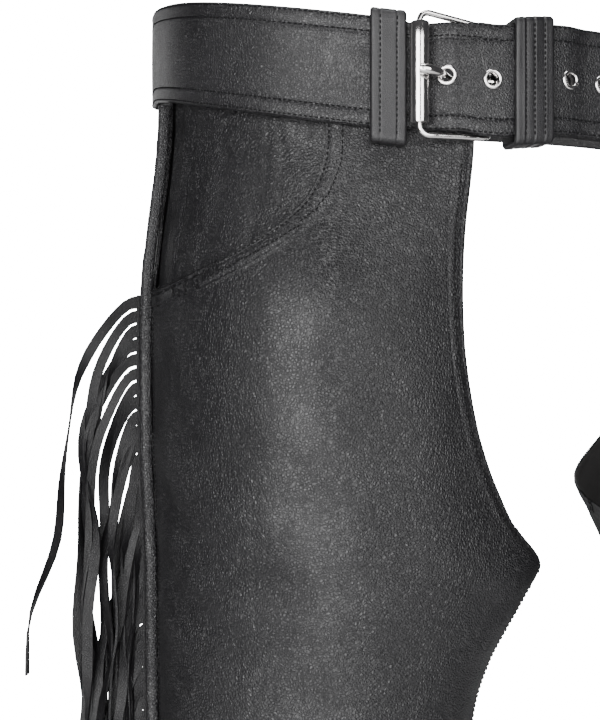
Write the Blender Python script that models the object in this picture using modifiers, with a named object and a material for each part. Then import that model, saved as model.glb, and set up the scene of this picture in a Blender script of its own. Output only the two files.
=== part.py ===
"""Worn leather chaps: a buckled belt, two open-seated legs, curved front
pockets and a long cut fringe down each outside seam.

World frame: +Z up, the wearer faces -Y, the wearer's left is +X.  The origin
is the middle of the waist, level with the middle of the belt by the buckle.
"""
import math

import bmesh
import bpy
from mathutils import Matrix, Vector

MM = 0.001
RIGHT, LEFT = -1, 1

# Waist: the belt's inner face is a rounded oval, low in front.
WAIST_HALF_WIDTH = 182 * MM
WAIST_HALF_DEPTH = 124 * MM
WAIST_ROUNDNESS = 2.5
WAIST_SIDE_DEPTH = 22 * MM
BELT_SIDE_RISE = 40 * MM
BELT_BACK_RISE = 20 * MM
BELT_CENTRE_RISE = 4.5 * MM
BELT_CENTRE_DEPTH = 4.5 * MM

# Belt strap and what is fixed on it.
BELT_WIDTH = 49.5 * MM
BELT_THICK = 3.0 * MM
FOLD_THICK = 2.0 * MM
FOLD_WIDTH = 40 * MM
FOLD_LENGTH = 34 * MM
PINCH_WIDTH = 47.2 * MM
CLEARANCE = 0.3 * MM
TIP_BEYOND_CENTRE = 42 * MM
LOOP_FROM, LOOP_TO = -118.5 * MM, -104.2 * MM
KEEPER_FROM, KEEPER_TO = -59.5 * MM, -41.5 * MM
KEEPER_THICK = 1.6 * MM
KEEPER_BEHIND, KEEPER_AHEAD = 0.9 * MM, 10.5 * MM
KEEPER_DROP = 2.4 * MM
LOOP_THICK = 2.0 * MM
LOOP_DROP = 4.4 * MM
LOOP_GAP = 0.5 * MM
LOOP_TURNED_DOWN = 12 * MM
WRAP_ABOVE = 0.8 * MM

# Buckle: a wire frame with a roller on one end and a prong on the other.
ROLLER_X = -99 * MM
HINGE_X = -67.5 * MM
WIRE_RADIUS = 1.35 * MM
ROLLER_RADIUS = 4.15 * MM
ROLLER_LENGTH = 44 * MM
ROLLER_OFFSET = 7.5 * MM
HINGE_OFFSET = 3.2 * MM
FRAME_HALF_AT_ROLLER = 26.6 * MM
FRAME_HALF_AT_HINGE = 24.4 * MM
FRAME_CORNER = 4 * MM
CURL_RADIUS = 2.7 * MM

# Eyelets in the strap.
FIRST_EYELET_X = -88 * MM
EYELET_PITCH = 18.9 * MM
EYELET_COUNT = 7
EYELET_OUTER = 4.4 * MM
EYELET_INNER = 2.7 * MM
BARREL_OUTER = 3.05 * MM
EYELET_LIP = 0.6 * MM
BARREL_SHORT_OF_BACK = 0.5 * MM

# Slot in the folded end for the prong: along, up and out, and its place past the hinge bar.
PRONG_SLOT = (12 * MM, 6.5 * MM, 7.7 * MM)
PRONG_SLOT_AHEAD = 1.5 * MM
# Drill lengths in strap thicknesses; the first hole is slanted and needs more.
FIRST_DRILL, OTHER_DRILLS = 1.7, 1.16

# Legs: sizes in each row are of a level section about the leg's own axis.
LEATHER = 1.8 * MM
PANEL_UNDER_BELT = 0.8 * MM
TOP_BELOW_BELT_MIDDLE = 5 * MM
CROTCH_Z = -219 * MM
HEM_Z = -1020 * MM
OUTSEAM_ANGLE = 172.0
CROTCH_ANGLE = -44.0
FLARE_SPREAD = 30.0
SECTION_COLUMNS = ("z", "half_width", "half_depth", "roundness")
SECTIONS = (
    (0, 80, 108, 2.5),
    (-100, 82.5, 108, 2.4),
    (-160, 82.5, 105, 2.3),
    (-220, 80.5, 99, 2.15),
    (-300, 79.5, 92, 2.05),
    (-400, 77, 84, 2.0),
    (-500, 73, 77, 2.0),
    (-620, 72.5, 76, 2.0),
    (-780, 73, 76, 2.0),
    (-900, 76, 79, 2.0),
    (-1020, 79, 82, 2.0),
)
RIGHT_AXIS = ((0, 108, -10), (-300, 108, -10), (-500, 109, -9), (-760, 111, 1), (-1020, 113, 6))
LEFT_AXIS = (
    (0, 108, -10),
    (-60, 109, -11),
    (-100, 116, -16),
    (-150, 136, -27),
    (-200, 155.5, -38),
    (-250, 169, -46),
    (-300, 178.5, -51),
    (-500, 209, -60),
    (-760, 228, -50),
    (-1020, 239, -42),
)
FLARE = ((0, 0), (-120, 6), (-170, 14), (-196, 21), (-219, 30), (-237, 23), (-254, 15), (-270, 8),
         (-293, 2), (-330, 0), (-1020, 0))
FLY_EDGE = ((20, -71.6), (-27, -71.8), (-68, -73.4), (-98, -73.5), (-121, -72.3), (-152, -68.4),
            (-170, -64.5), (-184, -60.4), (-196, -56.7), (-206, -52.3), (-214, -47.5), (-219, -44))
SEAT_EDGE = ((70, 128), (-50, 127), (-100, 121), (-140, 109), (-170, 92), (-192, 66), (-206, 32),
             (-214, -4), (-219, -44))
INSEAM = ((-219, -44), (-306, -42), (-500, -36), (-1020, -30))

# Pocket opening: a rounded quarter curve in angle and height.
POCKET_TOP_Z = -18 * MM
POCKET_TOP_ANGLE = -108.2
POCKET_DEPTH = 68.2 * MM
POCKET_CURVE = 2.4
FACING_BOTTOM_Z = -101 * MM
FACING_FROM_ANGLE = -97.0

# Raised outside seam and the fringe sewn into it.
SEAM_HEIGHT = 6.0 * MM
SEAM_THICK = 4.0 * MM
SEAM_BELOW_BELT = 1.8 * MM
FRINGE_TOP_Z = -88 * MM
FRINGE_BOTTOM_Z = HEM_Z + 34 * MM
STRANDS = {RIGHT: 118, LEFT: 96}
STRIP_OUTER = 7.2 * MM
STRIP_THICK = 1.4 * MM
STRAND_WIDTH = 4.8 * MM
STRAND_THICK = 1.2 * MM
LANE_ORDER = (0, 3, 1, 4, 2, 5)
LANE_SPACING = 3.0 * MM
FLOOR_CLEARANCE = 7 * MM
SHORTEST_STEP = 0.15
# Each strand's path: share of the lane offset, then mm out from the seam and down from the root.
STRAND_COLUMNS = ("lane", "out_right", "out_left", "down", "width_scale")
STRAND_PATH = (
    (0.5, 15, 15, 13, 1.15),
    (1.0, 30, 27, 50, 1.0),
    (1.0, 50, 48, 186, 0.85),
)


# Collections and materials

def clear_scene():
    for thing in list(bpy.data.objects):
        bpy.data.objects.remove(thing, do_unlink=True)


def make_collection(name):
    collection = bpy.data.collections.new(name)
    bpy.context.scene.collection.children.link(collection)
    return collection


def make_material(name, colour, roughness, metallic):
    material = bpy.data.materials.new(name)
    material.use_nodes = True
    shader = material.node_tree.nodes["Principled BSDF"]
    shader.inputs["Base Color"].default_value = (*colour, 1)
    shader.inputs["Roughness"].default_value = roughness
    shader.inputs["Metallic"].default_value = metallic
    return material


def leather(name):
    return make_material(name, (0.018, 0.017, 0.019), 0.45, 0.0)


def polished_metal(name):
    return make_material(name, (0.75, 0.75, 0.76), 0.16, 1.0)


# Tables and curves

def read_table(table, key, column):
    """A smooth value at key from rows whose first column falls down the table."""
    rows = [(row[0], row[column]) for row in table]
    if key >= rows[0][0]:
        return rows[0][1]
    if key <= rows[-1][0]:
        return rows[-1][1]
    i = next(k for k in range(len(rows) - 1) if rows[k + 1][0] <= key)

    def slope(k):
        before, after = max(k - 1, 0), min(k + 1, len(rows) - 1)
        return (rows[after][1] - rows[before][1]) / (rows[after][0] - rows[before][0])

    (x0, y0), (x1, y1) = rows[i], rows[i + 1]
    span = x1 - x0
    t = (key - x0) / span
    m0, m1 = slope(i) * span, slope(i + 1) * span
    t2, t3 = t * t, t * t * t
    return (2 * t3 - 3 * t2 + 1) * y0 + (t3 - 2 * t2 + t) * m0 + (3 * t2 - 2 * t3) * y1 + (t3 - t2) * m1


def ease(t):
    t = min(max(t, 0.0), 1.0)
    return t * t * (3 - 2 * t)


def mix(a, b, t):
    return a + (b - a) * t


# Waist oval and belt coordinates

def waist_rise(y):
    """How far the belt's middle stands above its place at the front."""
    v = (y + WAIST_HALF_DEPTH) / (WAIST_HALF_DEPTH + WAIST_SIDE_DEPTH)
    rise = BELT_SIDE_RISE * (1 - (1 - min(v, 1.0)) ** 1.15)
    past = (y - WAIST_SIDE_DEPTH) / (WAIST_HALF_DEPTH - WAIST_SIDE_DEPTH)
    centre = 1 - (y + WAIST_HALF_DEPTH) / BELT_CENTRE_DEPTH
    return rise + BELT_BACK_RISE * ease(past) + BELT_CENTRE_RISE * ease(centre)


def waist_radius(direction, grow=0.0):
    c = abs(math.cos(direction)) / (WAIST_HALF_WIDTH + grow)
    s = abs(math.sin(direction)) / (WAIST_HALF_DEPTH + grow)
    return (c ** WAIST_ROUNDNESS + s ** WAIST_ROUNDNESS) ** (-1 / WAIST_ROUNDNESS)


WAIST_STEPS = 1440


def measure_waist():
    """Points round the oval from the front centre towards the wearer's left, with lengths."""
    points, lengths = [], [0.0]
    for i in range(WAIST_STEPS + 1):
        direction = -math.pi / 2 + 2 * math.pi * i / WAIST_STEPS
        r = waist_radius(direction)
        points.append(Vector((r * math.cos(direction), r * math.sin(direction), 0)))
        if i:
            lengths.append(lengths[-1] + (points[i] - points[i - 1]).length)
    return points, lengths


WAIST_POINTS, WAIST_LENGTHS = measure_waist()
WAIST_ROUND = WAIST_LENGTHS[-1]


def waist_frame(s):
    """Point, outward direction and forward direction at a length s round the waist."""
    s = s % WAIST_ROUND
    low, high = 0, WAIST_STEPS
    while high - low > 1:
        middle = (low + high) // 2
        if WAIST_LENGTHS[middle] <= s:
            low = middle
        else:
            high = middle
    t = (s - WAIST_LENGTHS[low]) / (WAIST_LENGTHS[high] - WAIST_LENGTHS[low])
    point = WAIST_POINTS[low].lerp(WAIST_POINTS[high], t)
    before = WAIST_POINTS[(low - 6) % WAIST_STEPS]
    after = WAIST_POINTS[(high + 6) % WAIST_STEPS]
    along = (after - before).normalized()
    outward = Vector((along.y, -along.x, 0))
    return point, outward, along


def on_waist(s, out, up):
    point, outward, _ = waist_frame(s)
    place = point + outward * out
    place.z = waist_rise(point.y) + up
    return place


def length_at_x(x):
    """Length round the waist, below zero on the wearer's right, of a point on the front."""
    best = min(range(WAIST_STEPS // 2 + 1), key=lambda i: abs(WAIST_POINTS[-1 - i].x - x))
    return WAIST_LENGTHS[-1 - best] - WAIST_ROUND


ROLLER_S = length_at_x(ROLLER_X)
HINGE_S = length_at_x(HINGE_X)
BUCKLE_RUN = HINGE_S - ROLLER_S
FIRST_EYELET_S = length_at_x(FIRST_EYELET_X)


# Meshes

def add_mesh(name, points, faces, material, home):
    mesh = bpy.data.meshes.new(name)
    mesh.from_pydata([tuple(p) for p in points], [], faces)
    mesh.materials.append(material)
    thing = bpy.data.objects.new(name, mesh)
    home.objects.link(thing)
    return thing


def face_outwards(thing):
    work = bmesh.new()
    work.from_mesh(thing.data)
    bmesh.ops.recalc_face_normals(work, faces=work.faces)
    if work.calc_volume(signed=True) < 0:
        bmesh.ops.reverse_faces(work, faces=work.faces)
    work.to_mesh(thing.data)
    work.free()


def loft(name, sections, material, home, closed=False):
    """A solid through sections of equal point counts, capped or joined end to end."""
    size = len(sections[0])
    points = [p for section in sections for p in section]
    faces = []
    spans = len(sections) if closed else len(sections) - 1
    for i in range(spans):
        a, b = i * size, (i + 1) % len(sections) * size
        faces += [(a + k, a + (k + 1) % size, b + (k + 1) % size, b + k) for k in range(size)]
    if not closed:
        last = (len(sections) - 1) * size
        faces.append(tuple(reversed(range(size))))
        faces.append(tuple(range(last, last + size)))
    thing = add_mesh(name, points, faces, material, home)
    face_outwards(thing)
    return thing


def leather_sheet(name, rows, thick, side, material, home):
    """An open surface through rows of points, thickened inwards."""
    width = len(rows[0])
    points = [p for row in rows for p in row]
    faces = []
    for i in range(len(rows) - 1):
        for k in range(width - 1):
            a = i * width + k
            b = a + width
            faces.append((a + 1, a, b, b + 1) if side == LEFT else (a + 1, b + 1, b, a))
    thing = add_mesh(name, points, faces, material, home)
    wall = thing.modifiers.new("Leather", "SOLIDIFY")
    wall.thickness = thick
    wall.offset = -1
    return thing


def wire(name, points, radius, material, home, closed=False, swell=None):
    curve = bpy.data.curves.new(name, "CURVE")
    curve.dimensions = "3D"
    curve.bevel_depth = radius
    curve.bevel_resolution = 2
    curve.use_fill_caps = True
    spline = curve.splines.new("POLY")
    spline.points.add(len(points) - 1)
    for i, place in enumerate(points):
        spline.points[i].co = (*place, 1)
        spline.points[i].radius = swell[i] if swell else 1
    spline.use_cyclic_u = closed
    curve.materials.append(material)
    thing = bpy.data.objects.new(name, curve)
    home.objects.link(thing)
    return thing


def turned(name, profile, place, axis, material, home, steps=10):
    """A profile of (radius, height) points turned round an axis through place."""
    mesh = bpy.data.meshes.new(name)
    count = len(profile)
    mesh.from_pydata([(r, 0, h) for r, h in profile], [(i, (i + 1) % count) for i in range(count)], [])
    mesh.materials.append(material)
    thing = bpy.data.objects.new(name, mesh)
    home.objects.link(thing)
    turn = thing.modifiers.new("Turn", "SCREW")
    turn.steps = steps
    turn.render_steps = steps
    turn.use_merge_vertices = True
    turn.merge_threshold = 0.01 * MM
    thing.matrix_world = Matrix.Translation(place) @ axis.to_track_quat("Z", "Y").to_matrix().to_4x4()
    return thing


def cut(thing, cutter):
    hole = thing.modifiers.new("Cut " + cutter.name, "BOOLEAN")
    hole.operation = "DIFFERENCE"
    hole.solver = "EXACT"
    hole.object = cutter
    cutter.hide_render = True
    cutter.display_type = "WIRE"


# Belt

def buckle_s(f):
    """Length round the waist at a fraction of the way from roller to hinge bar."""
    return ROLLER_S + f * BUCKLE_RUN


OVERLAP_LIFT = 3.8 * MM
BELT_MIDDLE = BELT_THICK / 2
# The strap's free end climbs from under the roller over the hinge bar: fraction, middle, width.
FREE_END_COLUMNS = ("f", "middle", "width")
FREE_END = (
    (-0.7, 1.5, BELT_WIDTH),
    (-0.45, 1.5, BELT_WIDTH),
    (-0.2, 1.5, PINCH_WIDTH),
    (0.0, 1.5, PINCH_WIDTH),
    (0.13, 2.5, PINCH_WIDTH),
    (0.25, 4.9, PINCH_WIDTH),
    (0.36, 7.0, PINCH_WIDTH),
    (0.48, 8.3, PINCH_WIDTH),
    (0.6, 8.7, PINCH_WIDTH),
    (0.8, 8.75, BELT_WIDTH),
    (1.0, 8.75, BELT_WIDTH),
)

# The same free end over the folded fixed end: share of the fold's length, middle.
OVER_FOLD_COLUMNS = ("t", "middle")
OVER_FOLD = (
    (0.0, 8.75),
    (0.2, 8.7),
    (0.4, 7.95),
    (0.7, 7.3),
    (1.0, 7.1),
)


def strap_section(s, middle, width, thick):
    low, high = middle - thick / 2, middle + thick / 2
    return [
        on_waist(s, high, -width / 2),
        on_waist(s, low, -width / 2),
        on_waist(s, low, width / 2),
        on_waist(s, high, width / 2),
    ]


def fold_sections():
    """The strap's fixed end: a skived layer behind, upside down, turned round the hinge bar."""
    sections = []
    behind = HINGE_OFFSET - CURL_RADIUS
    for t in (1.0, 0.7, 0.35, 0.12):
        middle = mix(behind, FOLD_THICK / 2, ease(t * 1.4))
        sections.append(strap_section(HINGE_S + t * FOLD_LENGTH, middle, FOLD_WIDTH, -FOLD_THICK))
    for k in range(7):
        turn = math.radians(-90 - 30 * k)
        outward = Vector((math.cos(turn), math.sin(turn)))
        section = []
        for radius, half in ((1, -1), (-1, -1), (-1, 1), (1, 1)):
            reach = CURL_RADIUS + radius * FOLD_THICK / 2
            section.append(on_waist(HINGE_S + outward.x * reach, HINGE_OFFSET + outward.y * reach,
                                    half * FOLD_WIDTH / 2))
        sections.append(section)
    return sections


def belt_sections():
    sections = fold_sections()
    top = HINGE_OFFSET + CURL_RADIUS
    for t in (0.2, 0.4, 0.7, 1.0):
        settle = ease(t * 1.6)
        sections.append(strap_section(HINGE_S + t * FOLD_LENGTH, mix(top, OVERLAP_LIFT, settle),
                                      mix(FOLD_WIDTH, BELT_WIDTH, ease(t * 1.2)),
                                      mix(FOLD_THICK, BELT_THICK, settle)))
    settled = HINGE_S + FOLD_LENGTH + 14 * MM
    sections.append(strap_section(settled, BELT_MIDDLE, BELT_WIDTH, BELT_THICK))
    arrive = WAIST_ROUND + buckle_s(FREE_END[0][0])
    spans = 44
    for i in range(1, spans):
        sections.append(strap_section(mix(settled, arrive, i / spans), BELT_MIDDLE, BELT_WIDTH, BELT_THICK))
    for f, middle, width in FREE_END:
        sections.append(strap_section(buckle_s(f), middle * MM, width, BELT_THICK))
    for t, middle in OVER_FOLD[1:]:
        sections.append(strap_section(HINGE_S + t * FOLD_LENGTH, middle * MM, BELT_WIDTH, BELT_THICK))
    resting = BELT_THICK + CLEARANCE + BELT_MIDDLE
    sections.append(strap_section(settled, resting, BELT_WIDTH, BELT_THICK))
    tip_start = TIP_BEYOND_CENTRE - BELT_WIDTH / 2
    for t in (0.35, 0.7):
        sections.append(strap_section(mix(settled, tip_start, t), resting, BELT_WIDTH, BELT_THICK))
    for k in range(5):
        angle = math.radians(18 * k)
        width = BELT_WIDTH * math.cos(angle) ** 0.8
        s = tip_start + BELT_WIDTH / 2 * math.sin(angle)
        sections.append(strap_section(s, resting, max(width, 14 * MM), BELT_THICK))
    return sections


def strap_middle(s):
    """Offset of the free end's middle above the waist oval at s."""
    f = (s - ROLLER_S) / BUCKLE_RUN
    if f <= 1:
        rows = FREE_END
        i = max(k for k in range(len(rows) - 1) if rows[k][0] <= f)
        t = (f - rows[i][0]) / (rows[i + 1][0] - rows[i][0])
        return mix(rows[i][1], rows[i + 1][1], t) * MM
    t = (s - HINGE_S) / FOLD_LENGTH
    if t < 1:
        i = max(k for k in range(len(OVER_FOLD) - 1) if OVER_FOLD[k][0] <= t)
        (t0, low), (t1, high) = OVER_FOLD[i], OVER_FOLD[i + 1]
        return mix(low, high, (t - t0) / (t1 - t0)) * MM
    resting = BELT_THICK + CLEARANCE + BELT_MIDDLE
    return mix(OVER_FOLD[-1][1] * MM, resting, min((s - HINGE_S - FOLD_LENGTH) / (14 * MM), 1))


def make_belt(home, cutters):
    belt = loft("belt", belt_sections(), leather("belt leather"), home)
    bpy.ops.mesh.primitive_cube_add(size=1)
    notch = bpy.context.object
    notch.name = "prong_slot"
    _, outward, along = waist_frame(HINGE_S)
    across = Matrix((along, Vector((0, 0, 1)), outward)).transposed()
    notch.matrix_world = (Matrix.Translation(on_waist(HINGE_S + PRONG_SLOT_AHEAD, HINGE_OFFSET, 0))
                          @ across.to_4x4() @ Matrix.Diagonal((*PRONG_SLOT, 1)))
    move_to(notch, cutters)
    cut(belt, notch)
    metal = polished_metal("eyelet metal")
    for i in range(EYELET_COUNT):
        s = FIRST_EYELET_S + i * EYELET_PITCH
        step = 1 * MM
        back = on_waist(s - step, strap_middle(s - step), 0)
        fore = on_waist(s + step, strap_middle(s + step), 0)
        axis = (fore - back).normalized().cross(Vector((0, 0, 1))).normalized()
        place = on_waist(s, strap_middle(s), 0)
        half = BELT_THICK / 2
        lip = half + CLEARANCE
        foot = BARREL_SHORT_OF_BACK - half
        reach = BELT_THICK * (FIRST_DRILL if i == 0 else OTHER_DRILLS)
        add_hole(belt, place, axis, BARREL_OUTER + CLEARANCE, reach, cutters, i)
        profile = [
            (EYELET_OUTER - 0.5 * MM, lip + EYELET_LIP),
            (EYELET_OUTER, lip),
            (BARREL_OUTER, lip),
            (BARREL_OUTER, foot),
            (EYELET_INNER, foot),
            (EYELET_INNER, lip + EYELET_LIP),
        ]
        turned(f"eyelet_{i + 1}", profile, place, axis, metal, home)
    return belt


def move_to(thing, collection):
    for old in list(thing.users_collection):
        old.objects.unlink(thing)
    collection.objects.link(thing)


def add_hole(belt, place, axis, radius, reach, cutters, index):
    bpy.ops.mesh.primitive_cylinder_add(vertices=16, radius=radius, depth=reach)
    drill = bpy.context.object
    drill.name = f"eyelet_drill_{index + 1}"
    drill.matrix_world = Matrix.Translation(place) @ axis.to_track_quat("Z", "Y").to_matrix().to_4x4()
    move_to(drill, cutters)
    cut(belt, drill)


def wrap_section(s0, s1, out, up, away_out, away_up, thick):
    """One section of a narrow strap wrapped round the belt: its two faces from s0 to s1."""
    inner = [(s0, 0.0), (s1, 0.0)]
    outer = [(s1, thick), (s0, thick)]
    return [on_waist(s, out + away_out * d, up + away_up * d) for s, d in inner + outer]


def wrap_path(low_out, high_out, bottom, top):
    """Corner points round the belt with a direction away from it, chamfered at each corner."""
    corner = 0.6 * MM
    return [
        (high_out, bottom + corner, 1, -0.41),
        (high_out, top - corner, 1, 0.41),
        (high_out - corner, top, 0.41, 1),
        (low_out + corner, top, -0.41, 1),
        (low_out, top - corner, -1, 0.41),
        (low_out, bottom + corner, -1, -0.41),
        (low_out + corner, bottom, -0.41, -1),
        (high_out - corner, bottom, 0.41, -1),
    ]


def make_keeper(home):
    half = BELT_WIDTH / 2
    path = wrap_path(-KEEPER_BEHIND, KEEPER_AHEAD, -half - KEEPER_DROP, half + WRAP_ABOVE)
    s0, s1 = length_at_x(KEEPER_FROM), length_at_x(KEEPER_TO)
    sections = [wrap_section(s0, s1, out, up, a, b, KEEPER_THICK) for out, up, a, b in path]
    return loft("keeper", sections, leather("keeper leather"), home, closed=True)


def make_wide_loop(home):
    """A broad loop by the buckle: open behind, its lower end sewn to the panel."""
    half = BELT_WIDTH / 2
    gap = LOOP_GAP
    path = wrap_path(-gap, BELT_THICK + gap, -half - LOOP_DROP, half + WRAP_ABOVE)
    lower_lip = (0.2 * MM, -half - LOOP_DROP, -0.2, -1)
    bent = [lower_lip, path[7], path[0], path[1], path[2], path[3],
            path[4], (-gap, half - LOOP_TURNED_DOWN, -1, 0)]
    s0, s1 = length_at_x(LOOP_FROM), length_at_x(LOOP_TO)
    sections = [wrap_section(s0, s1, out, up, a, b, LOOP_THICK) for out, up, a, b in bent]
    return loft("belt_loop", sections, leather("loop leather"), home)


# Buckle

def frame_offset(s):
    return mix(ROLLER_OFFSET, HINGE_OFFSET, (s - ROLLER_S) / BUCKLE_RUN)


def make_buckle(home):
    metal = polished_metal("buckle metal")
    outline = []
    for end, half in ((ROLLER_S, FRAME_HALF_AT_ROLLER), (HINGE_S, FRAME_HALF_AT_HINGE)):
        inward = 1 if end == ROLLER_S else -1
        corner = []
        for k in range(5):
            turn = math.radians(22.5 * k)
            s = end + inward * FRAME_CORNER * (1 - math.cos(turn))
            corner.append((s, half - FRAME_CORNER * (1 - math.sin(turn))))
        outline.append(corner)
    (near, far) = outline
    route = near + far[::-1]
    route += [(s, -up) for s, up in far] + [(s, -up) for s, up in near[::-1]]
    points = [on_waist(s, frame_offset(s), up) for s, up in route]
    wire("buckle_frame", points, WIRE_RADIUS, metal, home, closed=True)

    half = ROLLER_LENGTH / 2
    bore = WIRE_RADIUS + CLEARANCE
    edge = 0.5 * MM
    profile = [
        (bore, half),
        (ROLLER_RADIUS - edge, half),
        (ROLLER_RADIUS, half - edge),
        (ROLLER_RADIUS, -half + edge),
        (ROLLER_RADIUS - edge, -half),
        (bore, -half),
    ]
    centre = on_waist(ROLLER_S, ROLLER_OFFSET, 0)
    turned("roller", profile, centre, Vector((0, 0, 1)), metal, home, steps=18)

    route = [(HINGE_S + CURL_RADIUS * math.cos(a), HINGE_OFFSET + CURL_RADIUS * math.sin(a))
             for a in (math.radians(-170 + 37.5 * k) for k in range(8))]
    swell = [1.0] * len(route)
    for f, out, radius in PRONG:
        route.append((buckle_s(f), out * MM))
        swell.append(radius)
    points = [on_waist(s, out, 0) for s, out in route]
    wire("prong", points, 1 * MM, metal, home, swell=swell)


# The prong from the hinge bar, under the strap, up through its eyelet and on to the roller.
PRONG_COLUMNS = ("f", "offset", "radius")
PRONG = (
    (0.85, 5.2, 1.1),
    (0.7, 4.4, 1.2),
    (0.53, 4.0, 1.2),
    (0.44, 4.2, 1.0),
    (0.29, 10.0, 0.95),
    (0.2, 12.2, 1.5),
    (0.1, 13.8, 2.1),
    (0.0, 14.2, 2.2),
    (-0.04, 14.1, 1.7),
)


# Legs

def leg_axis(side, z):
    table = RIGHT_AXIS if side == RIGHT else LEFT_AXIS
    key = z / MM
    return Vector((side * read_table(table, key, 1) * MM, read_table(table, key, 2) * MM, 0))


def leg_direction(side, angle):
    """Angles are those of the wearer's right leg; the left leg mirrors them."""
    a = math.radians(angle)
    return Vector((-side * math.cos(a), math.sin(a), 0))


def thigh_radius(angle, z):
    key = z / MM
    width, depth, roundness = (read_table(SECTIONS, key, c) for c in (1, 2, 3))
    a = math.radians(angle)
    c, s = abs(math.cos(a)) / width, abs(math.sin(a)) / depth
    radius = (c ** roundness + s ** roundness) ** (-1 / roundness)
    away = (angle - CROTCH_ANGLE + 180) % 360 - 180
    flare = read_table(FLARE, key, 1) * math.exp(-(away / FLARE_SPREAD) ** 2)
    return (radius + flare) * MM


def waist_wall_radius(angle):
    """Distance from the leg's axis at the waist to the oval just inside the belt."""
    centre = leg_axis(RIGHT, 0)
    direction = leg_direction(RIGHT, angle)
    low, high = 0.0, 0.4
    for _ in range(40):
        middle = (low + high) / 2
        place = centre + direction * middle
        if place.length <= waist_radius(math.atan2(place.y, place.x), -PANEL_UNDER_BELT):
            low = middle
        else:
            high = middle
    return low


def leg_base(side, angle, z):
    key_height = waist_rise(waist_height_y(angle)) - TOP_BELOW_BELT_MIDDLE
    fill = ease((key_height - 20 * MM - z) / (100 * MM))
    waist_point = leg_axis(side, 0) + leg_direction(side, angle) * waist_wall_radius(angle)
    leg_point = leg_axis(side, z) + leg_direction(side, angle) * thigh_radius(angle, z)
    place = waist_point.lerp(leg_point, fill)
    place.z = z
    return place


def waist_height_y(angle):
    return (leg_axis(RIGHT, 0) + leg_direction(RIGHT, angle) * waist_wall_radius(angle)).y


def panel_top(angle):
    return waist_rise(waist_height_y(angle)) - TOP_BELOW_BELT_MIDDLE


def leg_frame(side, angle, z):
    """Outer surface point and outward direction."""
    place = leg_base(side, angle, z)
    turn, drop = 0.5, 0.5 * MM
    around = leg_base(side, angle + turn, z) - leg_base(side, angle - turn, z)
    down = leg_base(side, angle, z - drop) - leg_base(side, angle, z + drop)
    outward = around.cross(down).normalized()
    if outward.dot(leg_direction(side, angle)) < 0:
        outward = -outward
    return place, outward


def leg_point(side, angle, z, out=0.0):
    place, outward = leg_frame(side, angle, z)
    return place + outward * out


LOWER_ROWS = (-104, -122, -146, -168, -184, -196, -206, -214, -219, -228, -240, -254, -270, -292, -330,
              -400, -470, -540, -640, -760, -890, -1020)


POCKET_STEPS = 8
FLY_Z_AT_POCKET_TOP = -22 * MM


def pocket_angle(z):
    drop = min(max((POCKET_TOP_Z - z) / POCKET_DEPTH, 0.0), 1.0)
    reach = (1 - drop ** POCKET_CURVE) ** (1 / POCKET_CURVE)
    outseam = OUTSEAM_ANGLE - 360
    return outseam + (POCKET_TOP_ANGLE - outseam) * reach


def front_rows():
    """Each row: height at the fly or inseam, then height and angle at the pocket or outseam."""
    pocket_bottom = POCKET_TOP_Z - POCKET_DEPTH
    rows = [(panel_top(FLY_EDGE[0][1]), panel_top(POCKET_TOP_ANGLE), POCKET_TOP_ANGLE)]
    for k in range(POCKET_STEPS + 1):
        drop = math.sin(math.radians(90 * k / POCKET_STEPS)) ** (2 / POCKET_CURVE)
        z = POCKET_TOP_Z - POCKET_DEPTH * drop
        fly_z = mix(FLY_Z_AT_POCKET_TOP, pocket_bottom - 6 * MM, k / POCKET_STEPS)
        rows.append((fly_z, z, pocket_angle(z)))
    rows += [(key * MM, key * MM, OUTSEAM_ANGLE - 360) for key in LOWER_ROWS]
    return rows


def inner_edge_angle(table, z):
    key = z / MM
    return read_table(table, key, 1) if z >= CROTCH_Z else read_table(INSEAM, key, 1)


SEAM_GAP_ANGLE = 0.35
COLUMNS = 10
BACK_UPPER_ROWS = 5
FACING_STEPS = (11, 7)
FACING_GAP = 1.5 * MM


def make_front_panel(side, name, home):
    rows = []
    for inner_z, outer_z, outer_angle in front_rows():
        inner_angle = inner_edge_angle(FLY_EDGE, inner_z) - SEAM_GAP_ANGLE
        row = []
        for k in range(COLUMNS + 1):
            t = k / COLUMNS
            angle = mix(inner_angle, outer_angle + SEAM_GAP_ANGLE, t)
            row.append(leg_point(side, angle, mix(inner_z, outer_z, t)))
        rows.append(row)
    return leather_sheet(name, rows, LEATHER, side, leather(name + " leather"), home)


def make_back_panel(side, name, home):
    level = POCKET_TOP_Z - POCKET_DEPTH
    heights = []
    top_out, top_in = panel_top(OUTSEAM_ANGLE), panel_top(SEAT_EDGE[0][1])
    for k in range(BACK_UPPER_ROWS + 1):
        t = k / BACK_UPPER_ROWS
        heights.append((mix(top_out, level, t), mix(top_in, level, t)))
    heights += [(key * MM, key * MM) for key in LOWER_ROWS]
    rows = []
    for outer_z, inner_z in heights:
        inner_angle = inner_edge_angle(SEAT_EDGE, inner_z) + SEAM_GAP_ANGLE
        row = []
        for k in range(COLUMNS + 1):
            t = k / COLUMNS
            angle = mix(OUTSEAM_ANGLE - SEAM_GAP_ANGLE, inner_angle, t)
            row.append(leg_point(side, angle, mix(outer_z, inner_z, t)))
        rows.append(row)
    return leather_sheet(name, rows, LEATHER, side, leather(name + " leather"), home)


def make_pocket_facing(side, name, home):
    depth = LEATHER + FACING_GAP
    across, down = FACING_STEPS
    rows = []
    for i in range(down + 1):
        row = []
        for k in range(across + 1):
            angle = mix(FACING_FROM_ANGLE, OUTSEAM_ANGLE - 360 + SEAM_GAP_ANGLE, k / across)
            z = mix(panel_top(angle), FACING_BOTTOM_Z, i / down)
            row.append(leg_point(side, angle, z, -depth))
        rows.append(row)
    return leather_sheet(name, rows, LEATHER, side, leather(name + " leather"), home)


# Raised outside seam and fringe

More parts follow.
